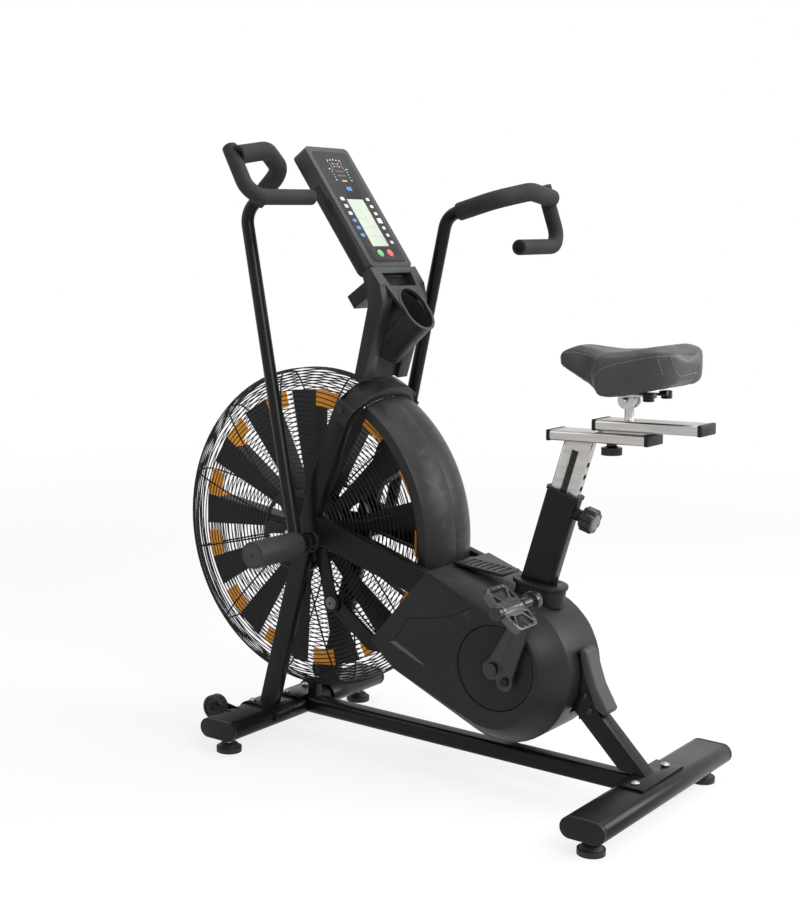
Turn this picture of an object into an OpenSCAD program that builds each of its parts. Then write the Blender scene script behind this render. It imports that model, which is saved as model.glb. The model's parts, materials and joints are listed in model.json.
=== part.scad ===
// Air bike: a fan bike with push-pull handles, an adjustable saddle and a console.
// X runs front to rear, Y to the rider's right, Z up. All lengths are in millimetres.

/* [Base] */
// Distance between the axes of the front and rear stabilizers
wheelbase = 862; // [846:1:890]
// Length of the rear stabilizer over its end caps
rear_len = 557; // [500:1:600]
// Length of the front stabilizer over its end caps
front_len = 538; // [500:1:600]
// Width of a stabilizer tube, front to back
stab_w = 92; // [84:1:100]
// Height of a stabilizer tube
stab_h = 41; // [36:1:46]
// Wall of the steel tubes
wall = 3; // [2:0.5:4]
// Height of the stabilizers above the floor
foot_h = 34; // [30:1:44]
// Diameter of a levelling foot
foot_d = 53; // [44:1:60]
// Diameter of a levelling foot's stem
stem_d = 10; // [8:1:12]
// Distance of a levelling foot from the end of its stabilizer
foot_inset = 40; // [36:1:56]
// Diameter of a transport wheel
wheel_d = 54; // [44:1:60]
// Width of a transport wheel
wheel_w = 22; // [16:1:26]

/* [Fan and cage] */
// Distance of the fan's axis behind the front stabilizer's axis
fan_back = 49; // [40:1:56]
// Height of the cage's lower edge above the floor
cage_low = 108; // [101:1:116]
// Outer radius of the fan cage
cage_r = 345; // [338:1:348]
// Half width of the cage's rim
rim_half = 15; // [12:1:18]
// Half width of the cage at its hub plates
cage_half = 80; // [78:1:80]
// Rings of wire on each side of the cage
ring_count = 12; // [8:1:16]
// Spokes on each side of the cage
spoke_count = 12; // [8:1:16]
// Thickness of the cage wires
wire = 4; // [3:0.5:5]
// Number of fan blades
blade_count = 13; // [10:1:14]
// Radius of the fan over its blade tips
fan_r = 300; // [280:1:310]
// Depth of a fan blade along the axis
blade_depth = 40; // [30:1:46]
// Radius of the fan's pulley
fan_pulley_r = 23; // [20:1:30]

/* [Side frames] */
// Distance of a side frame's middle from the bike's middle plane
side_y = 104; // [104:0.5:106]
// Thickness of the side frames' tubes along Y
side_t = 20; // [18:1:20]
// Depth of a post, front to back
post_d = 41; // [36:1:48]
// Lean of the posts below their bend
post_lean = 13.6; // [12.6:0.1:14.6]
// Lean of the posts above their bend
post_top_lean = 20; // [18:0.5:22]
// Height of the posts' bend
post_bend_z = 525; // [500:1:550]
// Distance of the posts' top bolts inside the rim of the cage
post_inset = 34; // [26:0.5:44]
// Height of a side beam's section
beam_h = 58; // [50:1:64]
// Slope of the side beams
beam_slope = 15.6; // [14:0.2:17]

/* [Crank and pedals] */
// Distance of the crank's axis ahead of the rear stabilizer's axis
crank_fwd = 288; // [284:1:292]
// Height of the crank's axis above the floor
crank_z = 262; // [258:1:266]
// Length of a crank arm
crank_len = 171; // [160:1:180]
// Angle of the left crank arm above the rear at rest
crank_angle = 61; // [50:1:70]
// Radius of the spindle
spindle_r = 10; // [8:0.5:12]
// Radius of the cover discs that turn with the crank
disc_r = 84; // [78:1:88]
// Offset of the eccentrics that drive the handles
throw = 38; // [30:1:40]
// Radius of the eccentrics
eccentric_r = 57; // [54:1:60]
// Radius of the drive pulley
drive_pulley_r = 92; // [84:1:100]
// Length of a pedal along its axle
pedal_w = 78; // [70:1:86]
// Width of a pedal across its axle
pedal_d = 100; // [90:1:106]
// Thickness of a pedal
pedal_t = 24; // [20:1:28]
// Tilt of the pedals at rest, rear edge down
pedal_tilt = 40; // [0:1:45]

/* [Handles] */
// Height of the handles' pivot above the floor
pivot_z = 448; // [444:1:452]
// Length of the lever from the pivot to its link bolt
lever_len = 136; // [130:1:140]
// Swing of a handle to either side of upright
swing = 15.3; // [12:0.1:17]
// Radius of the pivot shaft
shaft_r = 12; // [10:0.5:13]
// Radius of the handle's steel tube
tube_r = 13.5; // [12:0.5:15]
// Radius of the foam on the upper handle
foam_r = 18.5; // [17:0.5:20]
// Radius of the foam on the outer grip
grip_r = 15.5; // [14:0.5:17]
// Height of the handle's first bend above the pivot
handle_rise = 689; // [660:1:710]
// Radius of the foot peg's sleeve
peg_r = 27.5; // [24:0.5:30]
// Length of the foot peg's sleeve
peg_len = 137; // [110:1:150]

/* [Seat] */
// Lean of the seat tube
seat_lean = 15.3; // [14.3:0.1:16.3]
// Distance of the seat tube's middle ahead of the rear stabilizer, at the top of the cover
seat_fwd = 263; // [258:1:268]
// Height of the seat sleeve's top
sleeve_top_z = 600; // [590:1:615]
// Depth of the seat sleeve, front to back
sleeve_d = 70; // [66:1:74]
// Thickness of the seat sleeve along Y
sleeve_t = 32; // [30:1:36]
// Length of the seat post that shows above the sleeve
post_show = 105; // [90:1:120]
// Length of the saddle
saddle_len = 272; // [260:1:290]
// Width of the saddle
saddle_w = 216; // [200:1:230]
// Width of the seat rails
rail_w = 64; // [56:1:72]
// Rise of the seat rails towards the rear, in degrees
rail_tilt = 2.4; // [0:0.1:4]

/* [Console] */
// Height of the console's foot above the yoke's crown
head_rise = 236.5; // [229:0.5:244]
// Length of the console head
head_len = 300; // [280:1:310]
// Width of the console head
head_w = 146; // [136:1:148]
// Thickness of the console head
head_t = 38; // [32:1:44]
// Lean of the console head from upright
head_lean = 36.9; // [34:0.1:39]
// Width of the cup holder's hollow
cup_d = 76; // [70:1:80]
// Depth of the cup holder's hollow
cup_depth = 110; // [90:1:120]

/* [Hidden] */
$fn = 48;
fit = 0.05;      // running clearance of a shaft in its bore, on the radius
gap = 0.3;       // clearance between pieces that move past each other
bolt_r = 7;      // radius of a bolt's head
bolt_h = 4;      // height of a bolt's head
front_x = -wheelbase;
fan_x = front_x + fan_back;
fan_z = cage_low + cage_r;
crank_x = -crank_fwd;
stab_z = foot_h + stab_h / 2;
stab_top = foot_h + stab_h;
rail_t = 36;      // height of the bottom rail
cap_t = 10;      // thickness of a stabilizer's end cap
plate_t = 5;     // thickness of the steel plates

// Posts and side frames
side_in = side_y - side_t / 2;
side_out = side_y + side_t / 2;
post_base_x = front_x + 8.5;
post_base_z = stab_top + 8;
post_bend_x = post_base_x + (post_bend_z - post_base_z) * tan(post_lean);
post_bend = [post_bend_x - fan_x, post_bend_z - fan_z];
post_dir = [sin(post_top_lean), cos(post_top_lean)];
post_bolt_r = cage_r - post_inset;
post_top_len = sqrt(pow(post_bend * post_dir, 2) - post_bend * post_bend + pow(post_bolt_r, 2))
    - post_bend * post_dir;
post_top_x = post_bend_x + post_top_len * post_dir[0];
post_top_z = post_bend_z + post_top_len * post_dir[1];
pivot_x = post_base_x + (pivot_z - post_base_z) * tan(post_lean) + 20;
beam_top_z = pivot_z + 58;
beam_end_x = crank_x - 112;
boss_r = 23;     // radius of the boss around the handles' pivot
bush_r = 16;     // outer radius of a pivot bush
ring_out = side_out + 7;

// Cage
dome_start = 60;
dome_half = cage_half - 10;
hub_plate_r = 88;
ring_gap = (cage_r - hub_plate_r) / (ring_count + 1);
function dome_y(r) = rim_half + (dome_half - rim_half)
    * sqrt(max(0, 1 - pow((r - dome_start) / (cage_r - dome_start), 2)));

// Fan
fan_hub_r = 80;
tip_len = 34;
blade_pitch = 360 / blade_count;
first_blade = 89.6;
axle_r = 8;
bearing_r = 17;

// Drive
belt_y = 50;
belt_w = 12;
belt_t = 4;
drive_ratio = drive_pulley_r / fan_pulley_r;   // turns of the fan for one of the crank
belt_angle = atan2(crank_z - fan_z, crank_x - fan_x);

// Linkage planes, as distances from the middle plane
rod_in = 73;
rod_out = 81;
lever_in = 82;
lever_out = 88;
eccentric_in = 82;
eccentric_out = 104;
disc_in = 111;
cover_half = 118;
arm_in = 121;
arm_t = 8;
strap_r = eccentric_r + 1;
rod_h = 34;
throw_angle = -27;

// Handle, measured from its pivot when upright: rearward, outward from the middle, up
weld_y = 163;
bend_a = [-13, 102, handle_rise + 8];
bend_b = [92, 93, handle_rise + 73];
bend_c = [125, 170, handle_rise + 102];
bend_d = [124, 264, handle_rise + 89];
grip_e = [103, 255, handle_rise + 109];
grip_f = [159, 292, handle_rise - 4];
grip_g = [167, 109, handle_rise - 3];
bend_r = 45;
grip_bend_r = 32;
peg_in = weld_y + 2;

// Cover
cover_wall = 3;
cover_c = [crank_x - 12, 247];
cover_top = 429;      // height of the cover's front corner
rim_r = 148;          // round end of the cover at its rim
shoulder_r = 125;     // at the shoulder
face_r = 108;         // at the face

// Shroud, measured from the fan's axis
shroud_r = cage_r + 8;
shroud_half = 84;
shroud_from = asin((cover_top - 13 - fan_z) / shroud_r);
shroud_to = 58;
yoke_rise = 19;       // height of the yoke's crown above the shroud
yoke_turn = 8;        // width of the yoke around the fan, in degrees
crown_r = shroud_r + yoke_rise;
crown_at = shroud_to + yoke_turn / 2;

// The cover's front corner and the two below it, each given by its height and how far it is
// outside the shroud
cover_pts = [for (p = [[cover_top, 8], [265, -57], [217, 19]]) [rim_x(p[0], p[1]), p[0]]];

// Seat
seat_dir = [sin(seat_lean), cos(seat_lean)];
seat_ref_z = 422;
sleeve_foot = 128;    // length of the seat sleeve below the top of the cover
sleeve_len = (sleeve_top_z - seat_ref_z) / cos(seat_lean);
bush_lip = 6;
post_w = sleeve_d - 10;
post_t = sleeve_t - 10;
post_in = 200;        // length of the seat post inside the sleeve
hole_pitch = 25;
pin_along = sleeve_len - 29;
pin_boss = 18;        // height of the pull pin's boss on the sleeve
rail_h = 20;
rail_gap = 5;
lower_rail_len = 214;
upper_rail_len = 222;
upper_ahead = 106;    // rear end of the upper rail behind the lower rail's
seat_top = sleeve_len + bush_lip + post_show;
seat_top_x = -seat_fwd + seat_top * seat_dir[0];
seat_top_z = seat_ref_z + seat_top * seat_dir[1];
lower_rail_x0 = -58;
lower_rail_x1 = lower_rail_x0 + lower_rail_len;
upper_rail_x1 = lower_rail_x1 + upper_ahead;
upper_rail_x0 = upper_rail_x1 - upper_rail_len;
upper_rail_z = rail_h + rail_gap;
saddle_x = upper_rail_x0 + 62;
clamp_z = upper_rail_z + rail_h + 38;
saddle_z = clamp_z + 8;
knob_x = lower_rail_x1 - 90;

// Console
head_ahead = 3.4;     // from the middle of the yoke's crown
head_x = fan_x + crown_r * cos(crown_at) + head_ahead;
head_z = fan_z + crown_r * sin(crown_at) + head_rise;
mast_wall = 6;
cup_along = 101;
cup_long = 18;
cup_lean = 46;

// The whole bike is centred over its own footprint
x_low = fan_x - cage_r;
x_high = seat_top_x + upper_rail_x1 * cos(rail_tilt) - upper_rail_z * sin(rail_tilt);
middle_x = (x_low + x_high) / 2;

// ---- Helpers ----

module placed() {
    translate([-middle_x, 0, 0]) children();
}

// Left pieces are drawn on the -Y side; right_side(true) mirrors them across
module on_side(right) {
    if (right) mirror([0, 1, 0]) children();
    else children();
}

// A drawing in X and Z given thickness from y0 to y1
module slab(y0, y1) {
    translate([0, y1, 0]) rotate([90, 0, 0]) linear_extrude(y1 - y0) children();
}

// A round bar along Y
module bar(x, z, r, y0, y1) {
    translate([x, y1, z]) rotate([90, 0, 0]) cylinder(r = r, h = y1 - y0);
}

module rounded(w, h, r) {
    square([w - 2 * r, h], center = true);
    square([w, h - 2 * r], center = true);
    for (x = [-1, 1], y = [-1, 1]) translate([x * (w / 2 - r), y * (h / 2 - r)]) circle(r);
}

function unit(v) = v / norm(v);

// X of the shroud's front half at a height, some way outside it
function rim_x(z, out) = fan_x + sqrt(pow(shroud_r + out, 2) - pow(z - fan_z, 2));

function trim_len(a, b, c, bend) = bend * tan(acos(unit(b - a) * unit(c - b)) / 2);

// The points of a round bend at the middle one of three points
function bend_points(a, b, c, bend, steps) =
    let (u = unit(b - a), v = unit(c - b), axis = unit(cross(u, v)), toward = cross(axis, u),
         start = b - u * trim_len(a, b, c, bend), centre = start + toward * bend, turn = acos(u * v))
    [for (i = [0:steps]) centre + bend * (u * sin(turn * i / steps) - toward * cos(turn * i / steps))];

// A path of straight runs with every inner corner rounded
function rounded_path(p, bend, steps = 7) = concat(
    [p[0]],
    [for (i = [1:1:len(p) - 2]) for (q = bend_points(p[i - 1], p[i], p[i + 1], bend, steps)) q],
    [p[len(p) - 1]]);

function along(p, i) = unit(p[min(i + 1, len(p) - 1)] - p[max(i - 1, 0)]);

function ring_at(c, t, up, r, sides) =
    let (a = unit(cross(t, up)), b = cross(t, a))
    [for (k = [0:sides - 1]) c + r * (a * cos(360 * k / sides) + b * sin(360 * k / sides))];

// A solid or hollow round tube swept along a path; up never lies along the path
module sweep(path, r, up, bore = 0) {
    sides = 20;
    n = len(path);
    outer = [for (i = [0:n - 1]) for (q = ring_at(path[i], along(path, i), up, r, sides)) q];
    inner = [for (i = [0:n - 1]) for (q = ring_at(path[i], along(path, i), up, bore, sides)) q];
    m = n * sides;
    last = m - sides;
    skin = [for (i = [0:n - 2]) for (k = [0:sides - 1])
        [i * sides + k, (i + 1) * sides + k, (i + 1) * sides + (k + 1) % sides, i * sides + (k + 1) % sides]];
    if (bore > 0)
        polyhedron(concat(outer, inner), concat(
            skin,
            [for (f = skin) [for (k = [3:-1:0]) f[k] + m]],
            [for (k = [0:sides - 1]) [k, (k + 1) % sides, m + (k + 1) % sides, m + k]],
            [for (k = [0:sides - 1]) [last + (k + 1) % sides, last + k, m + last + k, m + last + (k + 1) % sides]]));
    else
        polyhedron(outer, concat(skin, [[for (k = [0:sides - 1]) k]],
            [[for (k = [sides - 1:-1:0]) last + k]]));
}

// ---- Base ----

module stab_section(grow = 0) {
    w = stab_w + 2 * grow;
    h = stab_h + 2 * grow;
    square([w - h, h], center = true);
    for (s = [-1, 1]) translate([s * (w - h) / 2, 0]) circle(h / 2);
}

module stab_solid(x, half, grow = 0) {
    translate([x, 0, stab_z]) slab(-half, half) stab_section(grow);
}

module stabilizer(x, len) {
    half = len / 2 - cap_t;
    foot_y = len / 2 - foot_inset;
    difference() {
        stab_solid(x, half);
        stab_solid(x, half + 1, -wall);
        for (s = [-1, 1]) translate([x, s * foot_y, foot_h - 1])
            cylinder(r = stem_d / 2 + fit, h = wall + 2);
    }
}

module end_cap(x, len, s) {
    half = len / 2 - cap_t;
    translate([x, s * (half + cap_t / 2), stab_z]) slab(-cap_t / 2, cap_t / 2) stab_section();
    translate([x, s * (half - cap_t / 2), stab_z]) slab(-cap_t / 2, cap_t / 2) stab_section(-wall);
}

module front_stabilizer() {
    color("#1c1c1e") placed() stabilizer(front_x, front_len);
}

module rear_stabilizer() {
    color("#1c1c1e") placed() stabilizer(0, rear_len);
}

module stabilizer_caps() {
    color("#101010") placed() for (s = [-1, 1]) {
        end_cap(front_x, front_len, s);
        end_cap(0, rear_len, s);
    }
}

module levelling_foot(x, y) {
    pad_h = 11;
    tier_h = 7;
    nut_h = 6;
    translate([x, y, 0]) {
        cylinder(r = foot_d / 2, h = pad_h);
        translate([0, 0, pad_h]) cylinder(r1 = foot_d / 2 - 4, r2 = foot_d / 2 - 9, h = tier_h);
        cylinder(r = stem_d / 2, h = foot_h + wall + 10);
        translate([0, 0, foot_h - nut_h - gap]) cylinder(r = stem_d * 0.85, h = nut_h, $fn = 6);
    }
}

module front_left_foot() {
    color("#232325") placed() levelling_foot(front_x, -(front_len / 2 - foot_inset));
}

module front_right_foot() {
    color("#232325") placed() levelling_foot(front_x, front_len / 2 - foot_inset);
}

module rear_left_foot() {
    color("#232325") placed() levelling_foot(0, -(rear_len / 2 - foot_inset));
}

module rear_right_foot() {
    color("#232325") placed() levelling_foot(0, rear_len / 2 - foot_inset);
}

// Transport wheels, ahead of the front stabilizer
wheel_x = front_x - stab_w / 2 - wheel_d / 2 + 1;
wheel_z = stab_top - 4;
wheel_y = front_len / 2 - 79;
wheel_axle_r = 5;

module transport_wheel(s) {
    difference() {
        bar(wheel_x, wheel_z, wheel_d / 2, s * wheel_y - wheel_w / 2, s * wheel_y + wheel_w / 2);
        bar(wheel_x, wheel_z, wheel_axle_r + fit, s * wheel_y - wheel_w, s * wheel_y + wheel_w);
        for (e = [-1, 1]) translate([0, s * wheel_y + e * wheel_w / 2, 0])
            difference() {
                bar(wheel_x, wheel_z, wheel_d / 2 - 6, -3, 3);
                bar(wheel_x, wheel_z, wheel_axle_r + 5, -4, 4);
            }
    }
}

module left_wheel() {
    color("#161616") placed() transport_wheel(-1);
}

module right_wheel() {
    color("#161616") placed() transport_wheel(1);
}

module wheel_fork(s) {
    inner = wheel_w / 2 + gap;
    for (e = [-1, 1]) {
        y = s * wheel_y + e * (inner + 2);
        difference() {
            slab(y - 2, y + 2) union() {
                translate([wheel_x, wheel_z]) circle(12);
                polygon([[wheel_x, wheel_z + 12], [wheel_x - 5, wheel_z - 11],
                         [front_x - stab_w / 2 + 10, stab_z - 8], [front_x - 12, stab_top]]);
            }
            stab_solid(front_x, front_len);
        }
    }
    bar(wheel_x, wheel_z, wheel_axle_r, s * wheel_y - inner - 7, s * wheel_y + inner + 7);
}

module wheel_brackets() {
    color("#2a2a2c") placed() for (s = [-1, 1]) wheel_fork(s);
}

module rail_section() {
    rounded(44, rail_t, 12);
}

module bottom_rail() {
    rail_z = stab_top - rail_t / 2;
    color("#1c1c1e") placed() difference() {
        union() {
            translate([front_x + stab_w / 4, 0, rail_z]) rotate([90, 0, 90])
                linear_extrude(wheelbase - stab_w / 2) rail_section();
            translate([fan_x - 12, -10, rail_z]) cube([22, 20, fan_z - cage_r - rail_z + 3]);
            translate([front_x - 22, -45, stab_top]) cube([60, 90, plate_t]);
        }
        stab_solid(front_x, front_len);
        stab_solid(0, rear_len);
        bar(fan_x, fan_z, cage_r, -20, 20);
    }
}

// ---- Side frames ----

function post_x(z) = z < post_bend_z
    ? post_base_x + (z - post_base_z) * tan(post_lean)
    : post_bend_x + (z - post_bend_z) * tan(post_top_lean);
function beam_top(x) = beam_top_z - (x - pivot_x) * tan(beam_slope);

module post_outline() {
    h = post_d / 2;
    polygon([[post_x(stab_top) - h, stab_top], [post_bend_x - h, post_bend_z],
             [post_top_x - h, post_top_z], [post_top_x - h + 6, post_top_z + 16],
             [post_top_x + h - 12, post_top_z + 6], [post_top_x + h, post_top_z - 8],
             [post_bend_x + h, post_bend_z], [post_x(stab_top) + h, stab_top]]);
}

module beam_outline() {
    polygon([[pivot_x - 10, beam_top(pivot_x - 10)], [beam_end_x, beam_top(beam_end_x)],
             [beam_end_x, beam_top(beam_end_x) - beam_h], [pivot_x - 10, beam_top(pivot_x - 10) - beam_h]]);
}

module saddle_plate() {
    half = 35;
    difference() {
        translate([front_x, -side_y, stab_z]) slab(-half, half) stab_section(plate_t);
        stab_solid(front_x, front_len);
        translate([front_x - stab_w, -side_y - half - 1, 0]) cube([2 * stab_w, 2 * half + 2, stab_z - 4]);
    }
}

module side_frame() {
    difference() {
        union() {
            slab(-side_out, -side_in) post_outline();
            slab(-side_out, -side_in) beam_outline();
            saddle_plate();
            bar(pivot_x, pivot_z, boss_r, -ring_out + 3, -side_in + 2);
            slab(-side_in, -side_in + plate_t) polygon([
                [fan_x - 24, fan_z - 24], [fan_x - 24, fan_z + 24],
                [post_x(fan_z + 24) - 4, fan_z + 24], [post_x(fan_z - 24) - 4, fan_z - 24]]);
        }
        stab_solid(front_x, front_len);
        bar(pivot_x, pivot_z, bush_r, -ring_out - 5, -side_in + 5);
        bar(fan_x, fan_z, axle_r, -side_out, 0);
    }
}

module left_side_frame() {
    color("#1a1a1c") placed() side_frame();
}

module right_side_frame() {
    color("#1a1a1c") placed() on_side(true) side_frame();
}

// The yoke arches over the cage from one post's top to the other's
yoke_t = 6;

// Half of the yoke's arch as radius and distance from the middle plane
function yoke_arch(in) = let (r = crown_r - in)
    [[r, 0], [r - 1, 35], [r - 8, 62], [r - 20, 84 - in * 0.6], [r - 44, 100 - in],
     [post_bolt_r + 14, side_out + yoke_t - in], [post_bolt_r - 24, side_out + yoke_t - in]];

module around_rim(from, turn) {
    translate([fan_x, 0, fan_z]) rotate([90, 0, 0]) rotate([0, 0, from])
        rotate_extrude(angle = turn, $fn = 96) children();
}

module reversed_pair(a, b) {
    n = len(b) - 1;
    polygon(concat(a, [for (i = [n:-1:0]) b[i]]));
}

module half_yoke() {
    difference() {
        union() {
            around_rim(shroud_to, yoke_turn) reversed_pair(yoke_arch(0), yoke_arch(yoke_t));
            around_rim(shroud_to, 1) reversed_pair([for (i = [0:4]) yoke_arch(0)[i]],
                [[shroud_r, 0], [shroud_r - 1, 36],
                [shroud_r - 8, 62], [shroud_r - 18, shroud_half]]);
        }
        bar(post_top_x, post_top_z, 4, -side_out - 40, -side_in);
    }
}

module yoke() {
    color("#55575b") placed() {
        half_yoke();
        on_side(true) half_yoke();
    }
}

// ---- Rear strut with the crank's bearing shell ----

strut_pts = [[-60, 80], [-4, 80], [-200, 268], [-288, 276], [-288, 248], [-236, 248]];
bracket_pts = [[-150, 164], [-108, 184], [-128, 210], [-146, 262], [-152, 300], [-176, 250]];
shell_r = 23;
shell_half = 36;
cross_r = 11;    // radius of the bar between the side beams, inside the belt's loop
cross_x = beam_end_x - 15;
cross_z = beam_top(beam_end_x) - 46;

module rear_strut() {
    color("#1c1c1e") placed() difference() {
        union() {
            slab(-18, 18) polygon(strut_pts);
            slab(-21, 21) polygon(bracket_pts);
            translate([-33, -88, stab_top]) cube([58, 176, plate_t]);
            bar(crank_x, crank_z, shell_r, -shell_half, shell_half);
            slab(-16, 16) polygon([[crank_x - 12, crank_z + 8], [cross_x + 10, cross_z + 18],
                [cross_x - 2, cross_z - 4], [crank_x - 20, crank_z - 10]]);
            bar(cross_x, cross_z, cross_r, -side_in, side_in);
            along_seat(-sleeve_foot - 34) linear_extrude(34)
                square([sleeve_d - 2 * wall, sleeve_t - 2 * wall], center = true);
        }
        bar(crank_x, crank_z, bearing_r, -shell_half - 1, shell_half + 1);
        stab_solid(0, rear_len);
    }
}

// The seat tube stands on the bearing shell
module along_seat(d = 0) {
    translate([-seat_fwd, 0, seat_ref_z]) rotate([0, seat_lean, 0]) translate([0, 0, d]) children();
}

// ---- Bolts ----

module domed_bolt(x, y, z, r = bolt_r) {
    translate([x, y, z]) {
        cylinder(r = r, h = bolt_h);
        cylinder(r = r * 0.6, h = bolt_h + 2);
    }
}

module side_bolt(x, z, y, r = bolt_r) {
    bar(x, z, r, -y - bolt_h, -y);
    bar(x, z, r * 0.6, -y - bolt_h - 2, -y);
}

module frame_bolts() {
    color("#3a3a3d") placed() {
        for (s = [-1, 1]) {
            domed_bolt(-3, s * 65, stab_top + plate_t, 9);
            domed_bolt(front_x - 5, s * 33, stab_top + plate_t);
            for (e = [-1, 1]) domed_bolt(front_x - 22, s * (side_y + e * 25), stab_top + plate_t);
            on_side(s > 0) {
                bar(post_top_x, post_top_z, 8, -side_out - yoke_t - 2.5, -side_out - yoke_t);
                side_bolt(-128, 186, 21, 7);
                side_bolt(-140, 214, 21, 7);
            }
        }
    }
}

// ---- Cage ----

// Points of the dome's curve from the hub plate at r_in to the rim, as radius and height
function dome_points(r_in, r_out, low) = let (steps = 14, span = cage_r - dome_start,
    a0 = asin((r_in - dome_start) / span))
    [for (i = [0:steps]) let (a = a0 + (90 - a0) * i / steps)
        [dome_start + (r_out - dome_start) * sin(a), rim_half + low + (dome_half - rim_half) * cos(a)]];

module dome_profile(grow = 0) {
    outer = dome_points(hub_plate_r - 6, cage_r + grow, grow);
    polygon(concat([[0, 0], [0, outer[0][1]]], outer, [[cage_r + grow, 0]]));
}

// The space that the cage takes up, grown on every side
module cage_space(grow) {
    for (s = [-1, 1]) on_side(s > 0) translate([fan_x, 0, fan_z]) rotate([90, 0, 0])
        rotate_extrude($fn = 64) dome_profile(grow);
}

module cage_spoke() {
    path = dome_points(hub_plate_r - 4, cage_r, 0);
    under = dome_points(hub_plate_r - 4, cage_r - wire, -wire);
    n = len(under) - 1;
    linear_extrude(wire, center = true) polygon(concat(path, [for (i = [n:-1:0]) under[i]]));
}

module cage_half() {
    translate([fan_x, 0, fan_z]) rotate([90, 0, 0]) {
        rotate_extrude($fn = 96) translate([cage_r - 6, 0]) square([6, rim_half]);
        difference() {
            translate([0, 0, cage_half - 14]) cylinder(r = hub_plate_r, h = 14, $fn = 96);
            translate([0, 0, cage_half - 19]) cylinder(r = hub_plate_r - 5, h = 14, $fn = 96);
            for (i = [0:5]) rotate([0, 0, i * 60 + 30]) translate([54, 0, cage_half - 20])
                cylinder(r = 19, h = 30);
            translate([0, 0, cage_half - 20]) cylinder(r = axle_r, h = 30);
        }
        for (i = [1:ring_count]) {
            r = hub_plate_r + i * ring_gap;
            translate([0, 0, dome_y(r) - wire / 2]) rotate_extrude($fn = 96)
                translate([r - wire / 2, -wire / 2]) square(wire);
        }
        for (i = [0:spoke_count - 1]) rotate([0, 0, (i + 0.5) * 360 / spoke_count])
            rotate([90, 0, 0]) cage_spoke();
    }
}

module left_cage() {
    color("#202022") placed() cage_half();
}

module right_cage() {
    color("#202022") placed() difference() {
        on_side(true) cage_half();
        translate([fan_x, 0, fan_z]) rotate([0, -belt_angle, 0])
            translate([200, belt_y - belt_w, -68]) cube([120, 2 * belt_w + 4, 136]);
    }
}

// ---- Shroud ----

module shroud_profile() {
    t = 3;
    polygon([[shroud_r, 0], [shroud_r - 1, 36], [shroud_r - 8, 62], [shroud_r - 18, shroud_half],
             [shroud_r - 38, shroud_half], [shroud_r - 38, shroud_half - t],
             [shroud_r - 18 - t, shroud_half - t], [shroud_r - 8 - t, 62 - t],
             [shroud_r - 1 - t, 36 - t], [shroud_r - t, 0]]);
}

module shroud_half_shell() {
    translate([fan_x, 0, fan_z]) rotate([90, 0, 0]) rotate([0, 0, shroud_from])
        rotate_extrude(angle = shroud_to - shroud_from, $fn = 96) shroud_profile();
}

module left_shroud() {
    color("#2b2b2e") placed() difference() {
        shroud_half_shell();
        cover_space();
    }
}

module right_shroud() {
    color("#2b2b2e") placed() difference() {
        on_side(true) shroud_half_shell();
        cover_space();
    }
}

// ---- Cover over the crank and the drive ----

module cover_outline(r, inset) {
    translate(cover_c) circle(r - inset, $fn = 48);
    polygon([for (p = cover_pts) p + unit(cover_c - p) * inset * 1.4]);
}

// One half of the cover's body, from the seam outwards
module cover_body(inset) {
    hull() {
        slab(-62, 0) cover_outline(rim_r, inset);
        slab(-100 + inset, -62) cover_outline(shoulder_r, inset);
        slab(-cover_half + inset, -62) cover_outline(face_r, inset);
    }
}

module cover_space() {
    cover_body(0);
    on_side(true) cover_body(0);
}

module half_cover() {
    difference() {
        cover_body(0);
        translate([0, 0.01, 0]) cover_body(cover_wall);
        cage_space(6);
        shroud_space();
        rod_window();
        bar(crank_x, crank_z, disc_r + 1.5, -cover_half - 1, -cover_half + 12);
        seat_hole();
        strut_hole();
        translate([0, 0, 0]) slab(-side_out - gap, -side_in + gap) beam_outline();
    }
}

module shroud_space() {
    translate([fan_x, 0, fan_z]) rotate([90, 0, 0]) translate([0, 0, -shroud_half - 1])
        difference() {
            cylinder(r = shroud_r + 1, h = 2 * shroud_half + 2, $fn = 96);
            cylinder(r = shroud_r - 40, h = 2 * shroud_half + 2, $fn = 96);
        }
}

module rod_window() {
    translate([-640, -rod_out - 3, 196]) cube([160, rod_out - rod_in + 6, 100]);
}

module seat_hole() {
    along_seat(-60) linear_extrude(120) square([sleeve_d + 4, sleeve_t + 4], center = true);
}

module strut_hole() {
    slab(-22, 22) polygon([[-60, 76], [0, 76], [-196, 276], [-250, 276], [-250, 236]]);
    slab(-22, 22) polygon([[-152, 160], [-100, 184], [-122, 212], [-140, 262], [-146, 306], [-156, 306],
        [-180, 250]]);
}

module left_cover() {
    color("#242426") placed() half_cover();
}

module right_cover() {
    color("#242426") placed() difference() {
        on_side(true) half_cover();
        slab(belt_y - belt_w / 2 - 2, belt_y + belt_w / 2 + 2) belt_loop(belt_t + 4);
    }
}

module louver_plate() {
    x0 = fan_x + shroud_r + 16;
    len = -seat_fwd - 65 - x0;
    pitch = (len - 18) / 7;
    color("#1b1b1d") placed() translate([x0, 0, cover_pts[0][1] + 1]) rotate([0, 4.2, 0]) difference() {
        translate([0, -34, 0]) cube([len, 68, 6]);
        for (i = [0:6]) translate([pitch * (i + 1), -24, 2]) cube([6, 48, 5]);
    }
}

module seat_collar() {
    color("#1b1b1d") placed() difference() {
        translate([-seat_fwd + 2, 0, seat_ref_z - 16]) rotate([0, 6, 0]) linear_extrude(14)
            rounded(112, 78, 14);
        seat_hole();
        cover_space();
    }
}

// ---- Bearings, fan and drive ----

module ring_bar(x, z, r_out, r_in, y0, y1) {
    difference() {
        bar(x, z, r_out, y0, y1);
        bar(x, z, r_in, y0 - 1, y1 + 1);
    }
}

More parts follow.
